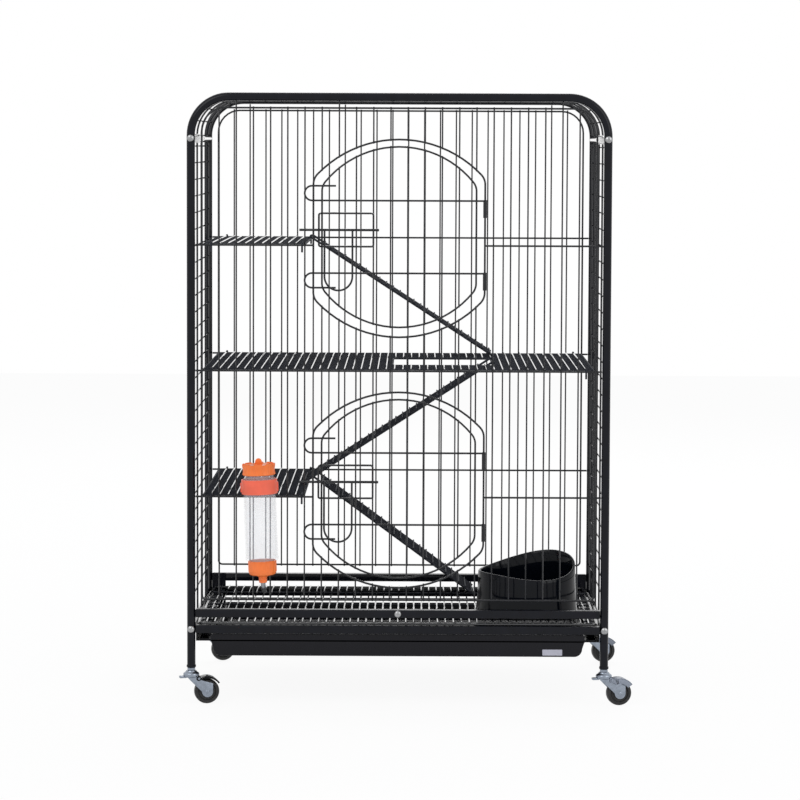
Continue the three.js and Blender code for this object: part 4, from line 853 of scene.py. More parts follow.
class CAGE_OT_doors(Piece, bpy.types.Operator):
    """Two wire doors: loop, close wires, bars with curled stops, wrapped hinge clips and latch guide"""

    bl_idname = "cage.doors"
    bl_label = "Doors"

    def build(self):
        for name, z in door_centres().items():
            hand_over(wire_door(z), f"{name}_wire_door", "cage_wire_coat", f"{name}_door",
                      [f"{name}_door"])


def latch_knob(x, z):
    half, wide = 2 * MM, LATCH_R + GAP * 0.7
    outline = [(0, -half), (wide * 0.7, -half), (wide, -half * 0.4), (wide, half * 0.4), (wide * 0.7, half),
               (0, half)]
    lay = turned(pi / 2, "Y")
    return moved(turn(outline, 16), shift(x, latch_y(), z) @ lay)


def latch_pull(z):
    bend = PULL_BEND
    leg = -door_half() + 4 * MM
    foot = z - PULL_DROP + bend
    y = latch_y() - LATCH_R - sizes().bar / 2 + 2 * WELD
    head = z + sizes().bar / 2
    route = [(leg, head), *arc(leg + bend, foot, bend, 180, 360, 20), (leg + 2 * bend, head)]
    return wires([in_xz(y, route)], sizes().bar / 2, 10)


class CAGE_OT_latches(Piece, bpy.types.Operator):
    """Door latches: slide bar with a knob, and a hanging pull bent from one wire"""

    bl_idname = "cage.latches"
    bl_label = "Door latches"

    def build(self):
        for name, centre_z in door_centres().items():
            z = centre_z + GUIDE_Z
            left = -ring_half() - LATCH_START
            right = left + LATCH_LENGTH
            slide = wires([along_x(left, right, latch_y(), z)], LATCH_R, 12)
            parts = [soften(slide, 0.4 * MM, 2, 60), latch_knob(right, z), latch_pull(z)]
            hand_over(join(parts), f"{name}_latch_wire", "cage_wire_coat", f"{name}_latch",
                      [f"{name}_door_latch"])


# ---- decks


DECK_CORNER = 8 * MM
HOOK_DROP = 14 * MM
HOOK_LENGTH = 10 * MM
HOOK_INSET = 13 * MM
GRATE_EDGE, GRATE_BAYS = 2 * MM, 6
LADDER_HALF = 52.5 * MM
LADDER_INSET = 69.65 * MM
LABEL_CORNERS = ((220 * MM, 76.5 * MM), (250 * MM, 85.5 * MM))
LABEL_THICK = 0.3 * MM
OPENING = {"left": -10 * MM, "right": 145 * MM, "front": -93 * MM, "back": 76 * MM}


def deck_rise():
    """A deck's edge wire over the panel's bar that carries it."""
    return 2.5 * MM + GAP - sizes().edge / 2 - sizes().bar / 2 + WELD


def deck_wires(node, bar_z, opening):
    """The close wires from front to back, and the edge wire with the wires from side to side."""
    size = sizes()
    edge = size.edge / 2
    x0, x1 = low(node).x + edge, high(node).x - edge
    half = LEG_Y - welded() - size.wire / 2 - GAP - edge
    z = bar_z + deck_rise()
    loop = rounded((x0, -half), (x1, half), DECK_CORNER, DECK_CORNER, 6)
    frame_loop = wires([(in_xy(z, loop), True)], edge, 10)
    bays = round((x1 - x0) / size.deck_pitch)
    wire_z = z + edge + size.wire / 2 - WELD
    close = []
    for i in range(1, bays):
        close += close_wires(x0 + (x1 - x0) * i / bays, wire_z, half + edge, opening)
    cross_z = z + edge - size.wire / 2
    long = []
    for y in places(half, round(2 * half / size.deck_pitch))[1:-1]:
        long += cross_wires(y, cross_z, x0, x1, opening)
    free_end = HOOK_INSET if opening else size.edge
    hooks = [deck_hook(x, face, bar_z, half) for x in (x0 + HOOK_INSET, x1 - free_end)
             for face in FACES.values()]
    parts = [frame_loop, wires(long, size.wire / 2), wires(hooks, size.bar / 2)]
    if opening:
        left, right, front, back = opening.values()
        sides = [along_y(x, front, back, z) for x in (left, right)]
        ends = [along_x(x0, x1, y, cross_z) for y in (front, back)]
        parts.append(wires(sides + ends, size.bar / 2, 10))
    return wires(close, size.wire / 2), join(parts)


def cross_wires(y, z, x0, x1, opening):
    """One wire from end to end, in two stretches where it meets the opening."""
    if not opening or not opening["front"] < y < opening["back"]:
        return [along_x(x0, x1, y, z)]
    return [along_x(x0, opening["left"], y, z), along_x(opening["right"], x1, y, z)]


def close_wires(x, z, reach, opening):
    """One close wire, in two stretches where it meets the opening."""
    room = sizes().edge / 2 + sizes().ladder_wire + sizes().wire + 2 * GAP
    if not opening or not opening["left"] - room < x < opening["right"] + room:
        return [along_y(x, -reach, reach, z)]
    return [along_y(x, -reach, opening["front"] + OVERRUN, z),
            along_y(x, opening["back"] - OVERRUN, reach, z)]


def deck_hook(x, face, bar_z, half):
    """A wire over the end panel's bar and down outside it."""
    bend = sizes().bar
    z = bar_z + bend + GAP
    outside = LEG_Y + bend + GAP
    route = [(half - HOOK_LENGTH, z), *arc(outside - bend, z - bend, bend, 90, 0, 6),
             (outside, z - HOOK_DROP)]
    return [Vector((x, face * y, pz)) for y, pz in route]


class CAGE_OT_decks(Piece, bpy.types.Operator):
    """Shelves and middle platform: edge wire, close wires, cross wires and hooks over the end panels"""

    bl_idname = "cage.decks"
    bl_label = "Decks"

    def build(self):
        decks = (("upper_shelf", "upper", None), ("middle_platform", "middle", OPENING),
                 ("lower_shelf", "lower", None))
        for node, level, opening in decks:
            across, along = deck_wires(node, BARS_Z[level], opening)
            hand_over(across, f"{node}_wire", "cage_gloss_coat", "cage", [node])
            # the cross wires take the rough coat whose paler base is painted sheen
            hand_over(along, f"{node}_long_wires", "cage_rough_coat_painted_sheen", "cage", [])


class CAGE_OT_grate(Piece, bpy.types.Operator):
    """Floor grate: thick edge wire, close wires over it and cross wires in it"""

    bl_idname = "cage.grate"
    bl_label = "Floor grate"

    def build(self):
        size = sizes()
        edge = GRATE_EDGE
        corner0, corner1 = low("floor_grate"), high("floor_grate")
        z = corner0.z + edge
        x0, x1 = corner0.x + edge, corner1.x - edge
        y0, y1 = corner0.y + edge, corner1.y - edge
        loop = rounded((x0, y0), (x1, y1), DECK_CORNER, DECK_CORNER, 6)
        frame_loop = wires([(in_xy(z, loop), True)], edge, 12)
        bays = round((x1 - x0) / size.grate_pitch)
        wire_z = z + edge + size.wire / 2 - WELD
        close = [along_y(x0 + (x1 - x0) * i / bays, corner0.y, corner1.y, wire_z) for i in range(1, bays)]
        cross_z = z + edge - size.bar / 2
        ys = [y0 + (y1 - y0) * k / GRATE_BAYS for k in range(1, GRATE_BAYS)]
        cross = wires([along_x(x0, x1, y, cross_z) for y in ys], size.bar / 2)
        made = join([frame_loop, wires(close, size.wire / 2)])
        hand_over(made, "floor_grate_wire", "cage_gloss_coat", "grate", ["floor_grate"])
        # the cross wires take the rough coat whose paler base is painted sheen
        hand_over(cross, "floor_grate_long_wires", "cage_rough_coat_painted_sheen", "grate", [])


# ---- ladders


def ladder(edge, foot, centre_y):
    """Drawn level from the edge wire at the origin, then tilted and put in place."""
    size = sizes()
    wire = size.ladder_wire / 2
    hook_r = size.edge / 2 + GAP + wire
    run, fall = abs(foot[0] - edge[0]), edge[1] - foot[1]
    distance = hypot(run, fall)
    slope = atan2(fall, run) + asin(hook_r / distance)
    length = sqrt(distance ** 2 - hook_r ** 2)
    half = LADDER_HALF
    hook = arc(0, 0, hook_r, 90, 205 + degrees(slope), 14)
    rails = wires([in_xz(y, ((length, hook_r), *hook)) for y in (-half, half)], wire, 12)
    rung_z = hook_r + wire + size.wire / 2 - WELD
    reach = half + OVERRUN + wire
    count = round(length / size.ladder_pitch)
    xs = [length * (i + 0.6) / count for i in range(1, count)]
    long_z = rung_z - size.wire + WELD
    ys = places(half, round(2 * half / size.ladder_pitch))[1:-1]
    rungs = wires([along_y(x, -reach, reach, rung_z) for x in xs]
                  + [along_x(xs[0] - OVERRUN, xs[-1] + OVERRUN, y, long_z) for y in ys],
                  size.wire / 2)
    round_z = turned(pi if foot[0] < edge[0] else 0, "Z")
    place = shift(edge[0], centre_y, edge[1])
    return moved(join([rails, rungs]), place @ round_z @ turned(slope, "Y"))


class CAGE_OT_ladders(Piece, bpy.types.Operator):
    """Ladders: two wires hooked over a deck's edge wire, with rungs welded across them"""

    bl_idname = "cage.ladders"
    bl_label = "Ladders"

    def build(self):
        grate_top = high("floor_grate").z
        shelf_x = high("upper_shelf").x - sizes().edge / 2
        deck_top = deck_rise() + sizes().edge / 2 + sizes().wire - WELD
        lift = sizes().ladder_wire / 2 + GAP
        back_y = LEG_Y - LADDER_INSET
        upper, level, lower = (BARS_Z[name] for name in ("upper", "middle", "lower"))
        ladders = (
            ("top_ladder", (shelf_x, upper), (148 * MM, level + deck_top + lift), back_y),
            ("middle_ladder", (OPENING["right"], level), (shelf_x - 6 * MM, lower + deck_top + lift),
             -7 * MM),
            ("bottom_ladder", (shelf_x, lower), (120 * MM, grate_top + lift), back_y),
        )
        for node, (edge_x, bar_z), foot, y in ladders:
            made = ladder((edge_x, bar_z + deck_rise()), foot, y)
            # the ladders take the rough coat whose paler base is painted sheen
            hand_over(made, f"{node}_wire", "cage_rough_coat_painted_sheen", node, [node])


# ---- tray


def tray_section(half, draft, corner, floor, top):
    reach = half - draft
    return [(half, top), (-half, top),
            *arc(-reach + corner, floor + corner, corner, 180, 270, 8),
            *arc(reach - corner, floor + corner, corner, 270, 360, 8)]


def label_plate(front_y):
    """The blank pale plate on the tray's front."""
    outline = rounded(*LABEL_CORNERS, 0.8 * MM, 0.8 * MM, 4)
    made = moved(plate(outline, LABEL_THICK, 0), shift(0, front_y - LABEL_THICK / 2, 0))
    hand_over(made, "blank_label_plate", "blank_label", "tray", [])


class CAGE_OT_tray(Piece, bpy.types.Operator):
    """Pull-out tray: drafted pan with rounded edges, lips on the runners and a taller front wall"""

    bl_idname = "cage.tray"
    bl_label = "Tray"

    def build(self):
        foot, head = low("tray"), high("tray")
        rim = foot.z + 24.5 * MM
        half = high("tray").x - 17 * MM
        wall, draft, corner = 1.6 * MM, 4 * MM, 12 * MM
        outer = tray_section(half, draft, corner, foot.z, rim)
        inner = tray_section(half - wall, draft, corner - wall, foot.z + wall, rim + 2 * MM)
        depth = head.y - foot.y
        pan = plate(outer, depth, 0)
        hollow = plate(inner, depth - 2 * wall, 0)
        tray = soften(cut(pan, hollow), 0.5 * MM, 2, 50)
        moved(tray, shift(0, (head.y + foot.y) / 2, 0))
        lips = [block((min(s * (half - wall), s * head.x), -INNER_Y, rim - wall),
                      (max(s * (half - wall), s * head.x), head.y, rim), 0.5 * MM) for s in (-1, 1)]
        crown = plate(rounded((-half, rim - 3 * MM), (half, head.z), 1 * MM, 4 * MM, 5), wall, 0.5 * MM)
        moved(crown, shift(0, foot.y + wall / 2, 0))
        made = join([tray, crown, *lips])
        hand_over(made, "pull_out_tray", "tray_plastic", "tray", ["tray"])
        label_plate(foot.y)


# ---- casters


CASTER_TURN = radians(12)
TRAIL = 23.5 * MM
WHEEL_R = 19 * MM
WHEEL_HALF = 7.5 * MM
FORK_IN = 8.1 * MM
FORK_OUT = 9.9 * MM
CUP_FOOT = 41.1 * MM
CUP_TOP = 51.3 * MM
HUB_R = 8.5 * MM
PIN_X, PIN_Z = 10 * MM, 39.6 * MM


def caster_place(side, face):
    """Where a caster stands, turned on its swivel as in the photo."""
    return shift(side * LEG_X, face * LEG_Y, 0) @ turned(CASTER_TURN, "Z")


def caster_stem():
    nut, pivot, head, spindle, soft, gap, top = 6, 3, 5, 3.9, 0.4, GAP / MM, 25
    rivet_head = [(0, -2.6), (head - 1, -2.6), (head, -1.6), (head, -gap), (pivot, -gap)]
    nut_foot = [(pivot, gap), (nut - soft, gap), (nut, gap + soft)]
    nut_top = [(nut, -gap - soft), (nut - soft, -gap), (spindle, -gap), (spindle, top - 1),
               (spindle - 1, top), (0, top)]
    return turn(profile(rivet_head, CUP_FOOT) + profile(nut_foot, CUP_TOP) + profile(nut_top, LEG_FOOT), 24)


def caster_fork():
    bore, wide = 3.3, 12.3
    cup = turn(profile([(bore, 0), (wide - 1.5, 0), (wide - 0.3, 0.8), (wide, 2), (wide, 5.2),
                        (wide - 0.8, 6.4), (wide - 2.6, 7.4), (wide - 4.2, 9)], CUP_FOOT)
               + profile([(wide - 4.7, 0), (bore, 0)], CUP_TOP), 32, closed=True)
    leg = (profile([(-6, -1), (-6, 2), (9, 2)], CUP_FOOT)
           + [(15 * MM, 36.4 * MM), (TRAIL + HUB_R, 31.5 * MM), *arc(TRAIL, WHEEL_R, HUB_R, 0, -180, 16)])
    parts = [cup]
    for side in (-1, 1):
        aside = shift(0, side * (FORK_IN + FORK_OUT) / 2, 0)
        parts += [moved(plate(leg, FORK_OUT - FORK_IN, 0.35 * MM), aside), axle_rivet(side), pedal_pin(side)]
    crown = block((-9 * MM, -FORK_OUT, CUP_FOOT), (9.5 * MM, FORK_OUT, CUP_FOOT + 2 * MM), 0.5 * MM)
    lug = block((-18.5 * MM, -4 * MM, CUP_FOOT - 1.5 * MM), (-8 * MM, 4 * MM, CUP_FOOT + 2 * MM), 1 * MM)
    parts += [cut(crown, rod(bore * MM, 10 * MM, (0, 0, CUP_FOOT), 24)), lug]
    axle = wires([along_y(TRAIL, -FORK_OUT, FORK_OUT, WHEEL_R)], 2.6 * MM, 16)
    return join([*parts, axle])


def axle_rivet(side):
    """The axle's domed end outside the fork."""
    dome = turn(profile([(0, 0.8), (1.6, 0.7), (2.4, 0.3), (2.6, 0), (2.6, -1), (0, -1)]), 20)
    lay = turned(-side * pi / 2, "X")
    return moved(dome, shift(TRAIL, side * FORK_OUT, WHEEL_R) @ lay)


def pedal_pin(side):
    ends = along_y(PIN_X, side * (FORK_IN + 0.2 * MM), side * (FORK_OUT + 2.7 * MM), PIN_Z)
    return soften(wires([ends], 1.8 * MM, 16), 0.3 * MM, 2, 60)


def caster_wheel():
    """A wheel with a rounded tread, a sunk side and a hub, bored for its axle."""
    side = profile([(2.9, 0), (5, 0), (5.6, -0.5), (6, -1.8), (12.6, -1.8), (13.2, -0.9), (13.8, -0.4),
                    (16.4, -0.4), (17.9, -1.2), (18.7, -2.6), (WHEEL_R / MM, -4.5)], WHEEL_HALF)
    outline = side + [(r, -z) for r, z in reversed(side)]
    lay = turned(pi / 2, "X")
    return moved(turn(outline, 40, closed=True), shift(TRAIL, 0, WHEEL_R) @ lay)


class CAGE_OT_casters(Piece, bpy.types.Operator):
    """Swivel casters: stem with its nut, bearing cup and fork, wheel, modelled once and copied to each leg"""

    bl_idname = "cage.casters"
    bl_label = "Casters"

    def build(self):
        stem, fork, wheel = caster_stem(), caster_fork(), caster_wheel()
        for face_name, face in FACES.items():
            for side_name, side in SIDES.items():
                name = f"{face_name}_{side_name}"
                place = caster_place(side, face)
                for source, piece, finish, body, slot_name in (
                        (stem, "stem", "caster_zinc", "cage", "zinc"),
                        (fork, "fork", "caster_zinc", f"{name}_caster", "zinc"),
                        (wheel, "wheel", "caster_rubber", f"{name}_wheel", "rubber")):
                    made = moved(copy_of(source), place)
                    hand_over(made, f"{name}_{piece}", finish, body, [f"{name}_caster_{piece}"],
                              35)
        for one in (stem, fork, wheel):
            remove(one)


def pedal_hood(skirt):
    wall = 1.6 * MM
    inner = WHEEL_R / cos(pi / 14) + 2.2 * MM
    outer = inner + wall
    reach = FORK_OUT + GAP + wall
    top = arc(TRAIL, WHEEL_R, outer, 36, 112, 18)
    parts = [plate(top + arc(TRAIL, WHEEL_R, inner, 112, 36, 18), 2 * reach, 0.5 * MM)]
    ear = (arc(TRAIL, WHEEL_R, inner + wall / 2, 98, 112, 2) + arc(PIN_X, PIN_Z, 3.6 * MM, 70, 290, 14)
           + arc(TRAIL, WHEEL_R, outer - skirt, 112, 98, 2))
    for side in (-1, 1):
        aside = shift(0, side * (reach - wall / 2), 0)
        cheek = plate(top + arc(TRAIL, WHEEL_R, outer - skirt, 112, 36, 18), wall, 0.4 * MM)
        tool = rod(2.1 * MM, 10 * MM, (PIN_X, 0, PIN_Z), 20, (pi / 2, 0, 0))
        bored = soften(cut(plate(ear, wall, 0), tool), 0.3 * MM)
        parts += [moved(cheek, aside), moved(bored, aside)]
    return join(parts)


class CAGE_OT_pedals(Piece, bpy.types.Operator):
    """Brake pedals: a hood over the wheel with skirts and ears, black on one caster, grey on the rest"""

    bl_idname = "cage.pedals"
    bl_label = "Brake pedals"

    def build(self):
        for face_name, face in FACES.items():
            for side_name, side in SIDES.items():
                name = f"{face_name}_{side_name}"
                plain = name == "front_left"
                made = pedal_hood(2.6 * MM if plain else 8.5 * MM)
                place = caster_place(side, face)
                finish = "black_gloss_plastic" if plain else "pedal_grey_plastic"
                hand_over(moved(made, place), f"{name}_pedal_hood", finish, f"{name}_pedal",
                          [f"{name}_brake_pedal"], 35)


# ---- drinking bottle


LEAN_Z = 280 * MM
LEAN = radians(-2.2)
BOTTLE_SHOULDER = 349 * MM
BOTTLE_FOOT = 224 * MM
BOTTLE_R = 25 * MM
BOTTLE_NECK = 18  # millimetres below the shoulder at the foot
BOTTLE_Y = 29.8 * MM
BAND_FOOT, BAND_TOP = 325 * MM, 347 * MM
SPOUT_SEAT = BOTTLE_FOOT - BOTTLE_NECK * MM - GAP
SPOUT_NECK = 16 * MM


def bottle_tube():
    wall, upper, lower, outer, r = 1.3, 22.5, 19.3, BOTTLE_R / MM, 2.4
    quarter = (0, 0.5, 1.05, 1.57)
    foot = [(lower, -BOTTLE_NECK), (lower, -0.6),
            *[(outer - r + r * sin(a), r - r * cos(a)) for a in quarter],
            (outer, 5), (outer - 0.5, 5.8)]
    head = [(outer - 0.5, -26), (outer, -25),
            *[(outer - r + r * cos(a), r * sin(a) - r) for a in quarter],
            (upper, 0), (upper, 17), (upper - wall, 17), (upper - wall, -wall), (outer - wall - 0.5, -3)]
    inside = [(outer - wall - 0.5, 3), (lower - wall, wall), (lower - wall, -BOTTLE_NECK)]
    return turn(profile(foot, BOTTLE_FOOT) + profile(head, BOTTLE_SHOULDER) + profile(inside, BOTTLE_FOOT),
                48, closed=True)


def top_cap():
    outer, recess = 24.5, 22.8
    neck = BOTTLE_SHOULDER + 17 * MM + GAP
    foot = neck - 13 * MM
    top = foot + 15.5 * MM
    skirt = [(recess, 0), (outer - 0.8, 0), (outer, 0.8), (outer - 0.8, 5), (outer - 1, 9)]
    crown = [(outer, -2), (outer, 1.4), (outer - 0.6, 2), (outer - 2.6, 2), (outer - 3.4, 0), (0, 0)]
    shell = turn(profile(skirt, foot) + profile(crown, top) + profile([(0, 0), (recess, 0)], neck), 48,
                 closed=True)
    grip_ribs(shell, foot + 2 * MM, top - 3 * MM, 0.45 * MM)
    for k in range(4):
        deselect()
        bpy.ops.mesh.primitive_cube_add(size=1, location=(0, 0, top + 1.2 * MM))
        tool = bpy.context.object
        tool.scale = (60 * MM, 7 * MM, 1.7 * MM)
        tool.rotation_euler = (0, 0, radians(45 * k + 22.5))
        cut(shell, settle(tool))
    half = 6.5 * MM
    tab = [(-half, top - 1 * MM), (half, top - 1 * MM),
           *arc(0, top + 11 * MM - half, half - 1.5 * MM, 0, 180, 14)]
    return join([shell, plate(tab, 3 * MM, 0.6 * MM)])


def grip_ribs(one, z0, z1, depth):
    """Grip ribs: every second wall face between two heights is pushed out."""
    edit_all(one)
    bpy.ops.mesh.select_all(action="DESELECT")
    bpy.ops.mesh.select_mode(type="FACE")
    mesh = bmesh.from_edit_mesh(one.data)
    walls = [f for f in mesh.faces if z0 - 3 * MM < f.calc_center_median().z < z1 + 3 * MM
             and abs(f.normal.z) < 0.5 and f.normal.xy.dot(f.calc_center_median().xy) > 0]
    for face in walls:
        spot = face.calc_center_median()
        sector = int((atan2(spot.y, spot.x) + pi) / (2 * pi) * 48 + 0.001)
        face.select_set(sector % 2 == 0)
    bmesh.update_edit_mesh(one.data)
    bpy.ops.mesh.inset(thickness=0.35 * MM, depth=depth, use_even_offset=True)
    bpy.ops.object.mode_set(mode="OBJECT")


def bottle_band():
    inner, soft = BOTTLE_R + GAP, 0.5 * MM
    outer = inner + 1.8 * MM
    ring = turn([(inner, BAND_FOOT), (outer - soft, BAND_FOOT), (outer, BAND_FOOT + soft),
                 (outer, BAND_TOP - soft), (outer - soft, BAND_TOP), (inner, BAND_TOP)], 48, closed=True)
    ears = [block((min(s * inner, s * 28.5 * MM), -4 * MM, BAND_FOOT + 3 * MM),
                  (max(s * inner, s * 28.5 * MM), 4 * MM, BAND_TOP - 5 * MM), 0.8 * MM) for s in (-1, 1)]
    back = BOTTLE_Y - sizes().bar / 2 - GAP
    clip = block((-10 * MM, inner - 1 * MM, BAND_FOOT + 2 * MM), (10 * MM, back, BAND_TOP - 2 * MM), 0.6 * MM)
    bored = [cut(one, rod(inner + 0.4 * MM, 60 * MM, (0, 0, BAND_FOOT), 48)) for one in (*ears, clip)]
    return join([ring, *bored])


def bottom_cap():
    outer, recess, neck, bore, bend = 21, 19.6, 6.1, 3.9, 5
    foot = SPOUT_SEAT - SPOUT_NECK
    rounding = [(outer - bend + bend * cos(a), 1 - bend * sin(a)) for a in (0, 0.4, 0.8, 1.2, 1.57)]
    shell = turn(profile([(recess, 0), (outer - 0.5, 0), (outer, -0.5)], BOTTLE_FOOT - GAP)
                 + profile([*rounding, (neck + 2.5, -5.5), (neck, -7.5)], SPOUT_SEAT)
                 + profile([(neck, 0.8), (neck - 0.8, 0), (bore, 0)], foot)
                 + profile([(bore, 0), (recess, 0)], SPOUT_SEAT), 48, closed=True)
    grip_ribs(shell, SPOUT_SEAT + 5 * MM, BOTTLE_FOOT - GAP - 3 * MM, 0.4 * MM)
    return shell


def bottle_spout():
    bend, fall, reach = 6 * MM, radians(20), 35 * MM
    curve = arc(bend, SPOUT_SEAT - SPOUT_NECK - 1 * MM, bend, 180, 270 - degrees(fall), 10)
    last = curve[-1]
    tip = (reach, last[1] - (reach - last[0]) * tan(fall))
    route = [(0, SPOUT_SEAT - 1 * MM), *curve, tip]
    return soften(wires([[Vector((0, u, v)) for u, v in route]], 3.6 * MM, 20), 0.5 * MM, 2, 60)


class CAGE_OT_bottle(Piece, bpy.types.Operator):
    """Drinking bottle: clear tube, castellated top cap with a tab, holder band, bottom cap and bent spout"""

    bl_idname = "cage.bottle"
    bl_label = "Drinking bottle"

    def build(self):
        xs = places(PANEL_HALF, sizes().end_bays)
        place = (shift((xs[3] + xs[4]) / 2, PANEL_Y - BOTTLE_Y, LEAN_Z)
                 @ turned(LEAN, "Y") @ shift(0, 0, -LEAN_Z))
        pieces = (
            (bottle_tube(), "bottle_clear_tube", "bottle_clear_plastic", "clear_plastic", "bottle_tube"),
            (top_cap(), "bottle_crown_cap", "cap_orange_plastic", "orange_plastic", "bottle_top_cap"),
            (bottle_band(), "bottle_band", "band_orange_plastic", "red_orange_plastic", "bottle_holder_band"),
            (bottom_cap(), "bottle_lower_cap", "cap_orange_plastic", "orange_plastic", "bottle_bottom_cap"),
            (bottle_spout(), "bottle_bent_spout", "spout_steel", "spout_steel", "bottle_spout"),
        )
        for made, name, finish, slot_name, node in pieces:
            hand_over(moved(made, place), name, finish, "cage", [node], 35)


# ---- food bowl


def flat(height):
    """A ring of the bowl at one height."""
    return lambda angle: height


def rim(share, drop=0.0):
    """A ring of the bowl at a share of the rim's height, less a drop; the rim rises to the back right."""
    mean, tilt, twist, high_side = 75.5 * MM, 14.8 * MM, 6.3 * MM, radians(68)
    return lambda angle: (mean + tilt * cos(angle - high_side) + twist * sin(2 * angle)) * share - drop


def loft(half_x, half_y, rings, count):
    """Extrudes a circle ring after ring, each laid to its inset and height, and closes both ends."""
    deselect()
    bpy.ops.mesh.primitive_circle_add(vertices=count, radius=half_x)
    made = bpy.context.object
    edit_all(made)
    wide, deep = 1, 1
    for k, (inset, height_at) in enumerate(rings):
        if k:
            bpy.ops.mesh.extrude_edges_move()
        mesh = bmesh.from_edit_mesh(made.data)
        for corner in (v for v in mesh.verts if v.select):
            angle = atan2(corner.co.y / deep, corner.co.x / wide)
            corner.co = ((half_x - inset) * cos(angle), (half_y - inset) * sin(angle), height_at(angle))
        wide, deep = half_x - inset, half_y - inset
        bmesh.update_edit_mesh(made.data)
    bpy.ops.object.mode_set(mode="OBJECT")
    edit_all(made)
    bpy.ops.mesh.select_all(action="DESELECT")
    bpy.ops.mesh.select_mode(type="EDGE")
    bpy.ops.mesh.select_non_manifold()
    bpy.ops.mesh.edge_face_add()
    return close_up(made)


class CAGE_OT_bowl(Piece, bpy.types.Operator):
    """Food bowl: oval cup that widens to its foot, with a rim that rises to the back right, ring by ring"""

    bl_idname = "cage.bowl"
    bl_label = "Food bowl"

    def build(self):
        corner0, corner1 = low("food_bowl"), high("food_bowl")
        centre = (corner0 + corner1) / 2
        half_x, half_y = (corner1.x - corner0.x) / 2, (corner1.y - corner0.y) / 2
        narrow, inside = 5.5, 9.5
        foot = [(20, 1.5), (8, 1.5), (5, 0), (1.6, 0), (0.4, 0.8), (0.1, 4), (1.3, 9), (2.6, 16)]
        lip = [(narrow - 1.3, 0.5, 0), (narrow - 0.4, 0.85, 0), (narrow, 1, 1.2), (narrow + 0.5, 1, 0.3),
               (narrow + 1.5, 1, 0), (inside - 1, 1, 0.4), (inside - 0.2, 1, 1.6), (inside, 0.8, 0),
               (inside, 0.45, 0)]
        floor = [(inside + 1, 13), (inside + 4, 8.6), (inside + 9, 6.3), (inside + 18, 6)]
        rings = ([(inset * MM, flat(z * MM)) for inset, z in foot]
                 + [(inset * MM, rim(share, drop * MM)) for inset, share, drop in lip]
                 + [(inset * MM, flat(z * MM)) for inset, z in floor])
        made = loft(half_x, half_y, rings, 64)
        moved(made, shift(centre.x, centre.y, corner0.z))
        hand_over(made, "oval_food_bowl", "black_gloss_plastic", "bowl", ["food_bowl"], 50)


# ---- stage


CAMERA_PLACE = Vector((25, -5200, 851)) * MM
CAMERA_TARGET = Vector((2.2, -211, 464.7)) * MM
CAMERA_ROLL = radians(0.22)
FLOOR_WHITE = 0.93  # how much of the floor is plain white where it is looked at
WORLD_LIGHT = 0.6
FLOOR_SIZE = 14
# name, place, size and power of each lamp
LAMPS = (("key_lamp", (-2.2, -3.2, 3.4), 2.6, 48), ("fill_lamp", (3.0, -2.6, 2.2), 2.4, 30),
         ("rear_lamp", (0.5, 3.4, 3.0), 2.6, 60))


def set_camera(scene):
    bpy.ops.object.camera_add(location=CAMERA_PLACE)
    camera = bpy.context.object
    look = (CAMERA_TARGET - CAMERA_PLACE).to_track_quat("-Z", "Y").to_matrix().to_4x4()
    camera.matrix_world = shift(*CAMERA_PLACE) @ look @ turned(CAMERA_ROLL, "Z")
    camera.data.sensor_width = 36
    camera.data.lens = 149
    camera.data.clip_end = 60
    scene.camera = camera


def floor_finish():
    """A pale floor, mostly plain white to the camera and to reflections, that keeps the shadow."""
    finish = Finish("pale_floor", Roughness=0.9)
    finish.tint(finish.noise(1), (0.95, 0.95, 0.955), (0.97, 0.97, 0.97))
    tree = finish.tree
    white = add_node(tree, "Emission", Strength=1)
    share = tree.nodes.new("ShaderNodeMath")
    share.operation = "MULTIPLY"
    share.inputs[1].default_value = FLOOR_WHITE
    tree.links.new(seen(tree), share.inputs[0])
    mix_into(tree, "Material Output", share.outputs["Value"], finish.shader.outputs["BSDF"],
             white.outputs["Emission"])
    return finish.material


def seen(tree):
    """One where the camera, a reflection or a clear piece looks, zero where light is gathered."""
    path = add_node(tree, "LightPath")
    level = path.outputs["Is Camera Ray"]
    for ray in ("Is Glossy Ray", "Is Transmission Ray"):
        either = tree.nodes.new("ShaderNodeMath")
        either.operation = "MAXIMUM"
        tree.links.new(level, either.inputs[0])
        tree.links.new(path.outputs[ray], either.inputs[1])
        level = either.outputs["Value"]
    return level


def set_world(scene):
    scene.world = world = bpy.data.worlds.new("studio")
    world.use_nodes = True
    tree = world.node_tree
    soft = tree.nodes["Background"]
    fill(tree, soft.inputs["Color"], (0.97, 0.98, 1, 1))
    fill(tree, soft.inputs["Strength"], WORLD_LIGHT)
    white = add_node(tree, "Background", Color=(1, 1, 1, 1), Strength=1)
    mix_into(tree, "World Output", seen(tree), soft.outputs["Background"], white.outputs["Background"])


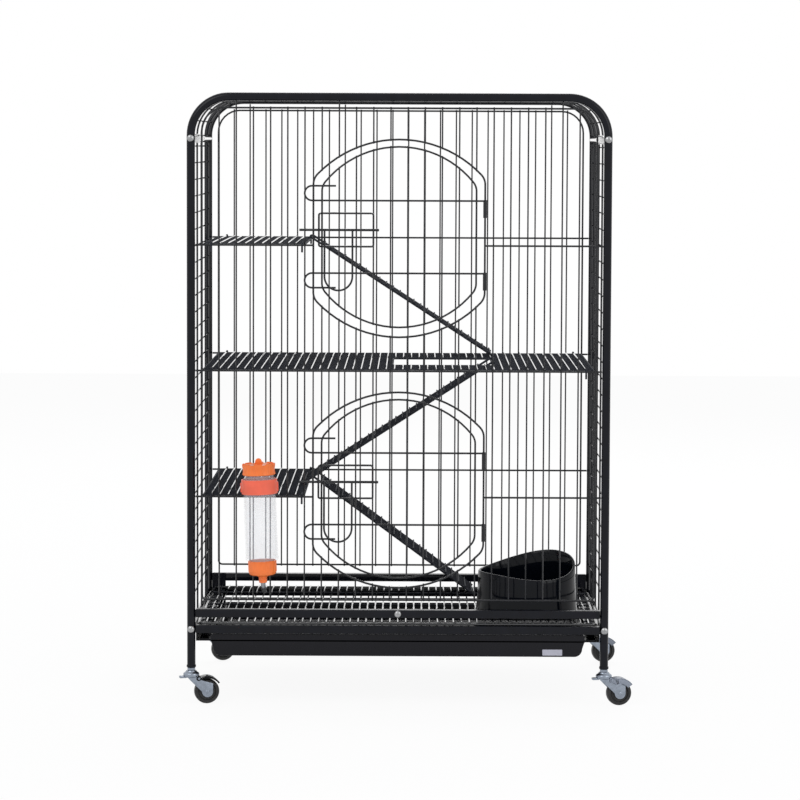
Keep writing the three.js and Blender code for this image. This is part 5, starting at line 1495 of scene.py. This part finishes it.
class CAGE_OT_stage(Piece, bpy.types.Operator):
    """Pale floor, soft lamps and the camera at the photograph's viewing angle"""

    bl_idname = "cage.stage"
    bl_label = "Stage"

    def build(self):
        scene = bpy.context.scene
        scene.view_settings.view_transform = "Standard"
        deselect()
        bpy.ops.mesh.primitive_plane_add(size=FLOOR_SIZE, location=(0, 0, 0))
        floor = bpy.context.object
        floor.name = "floor"
        floor.data.materials.append(floor_finish())
        set_world(scene)
        for name, place, size, power in LAMPS:
            bpy.ops.object.light_add(type="AREA", location=place)
            lamp = bpy.context.object
            lamp.name = name
            lamp.data.energy = power
            lamp.data.size = size
            aim = Vector((0, 0, 0.45)) - Vector(place)
            lamp.rotation_euler = aim.to_track_quat("-Z", "Y").to_euler()
        set_camera(scene)


# ---- add-on


OPERATORS = (
    CAGE_OT_stage, CAGE_OT_frame_tubes, CAGE_OT_rails, CAGE_OT_runners, CAGE_OT_screws, CAGE_OT_end_panels,
    CAGE_OT_grilles, CAGE_OT_doors, CAGE_OT_latches, CAGE_OT_decks, CAGE_OT_grate, CAGE_OT_ladders,
    CAGE_OT_tray, CAGE_OT_casters, CAGE_OT_pedals, CAGE_OT_bottle, CAGE_OT_bowl,
)


class CAGE_PT_panel(bpy.types.Panel):
    """Lists the cage's operators, sizes and colours"""

    bl_idname = "CAGE_PT_panel"
    bl_label = "Ferret cage"
    bl_space_type = "VIEW_3D"
    bl_region_type = "UI"
    bl_category = "Cage"

    def draw(self, context):
        for group in (context.scene.cage_sizes, context.scene.cage_colours):
            for key in group.__annotations__:
                self.layout.prop(group, key)
        for operator in OPERATORS:
            self.layout.operator(operator.bl_idname)


CLASSES = (CageSizes, CageColours, *OPERATORS, CAGE_PT_panel)


def register():
    for one in CLASSES:
        bpy.utils.register_class(one)
    bpy.types.Scene.cage_sizes = PointerProperty(type=CageSizes)
    bpy.types.Scene.cage_colours = PointerProperty(type=CageColours)


def unregister():
    del bpy.types.Scene.cage_colours
    del bpy.types.Scene.cage_sizes
    for one in reversed(CLASSES):
        bpy.utils.unregister_class(one)


def main():
    """Models every piece."""
    register()
    for operator in OPERATORS:
        group, name = operator.bl_idname.split(".")
        getattr(getattr(bpy.ops, group), name)()


if __name__ == "__main__":
    main()
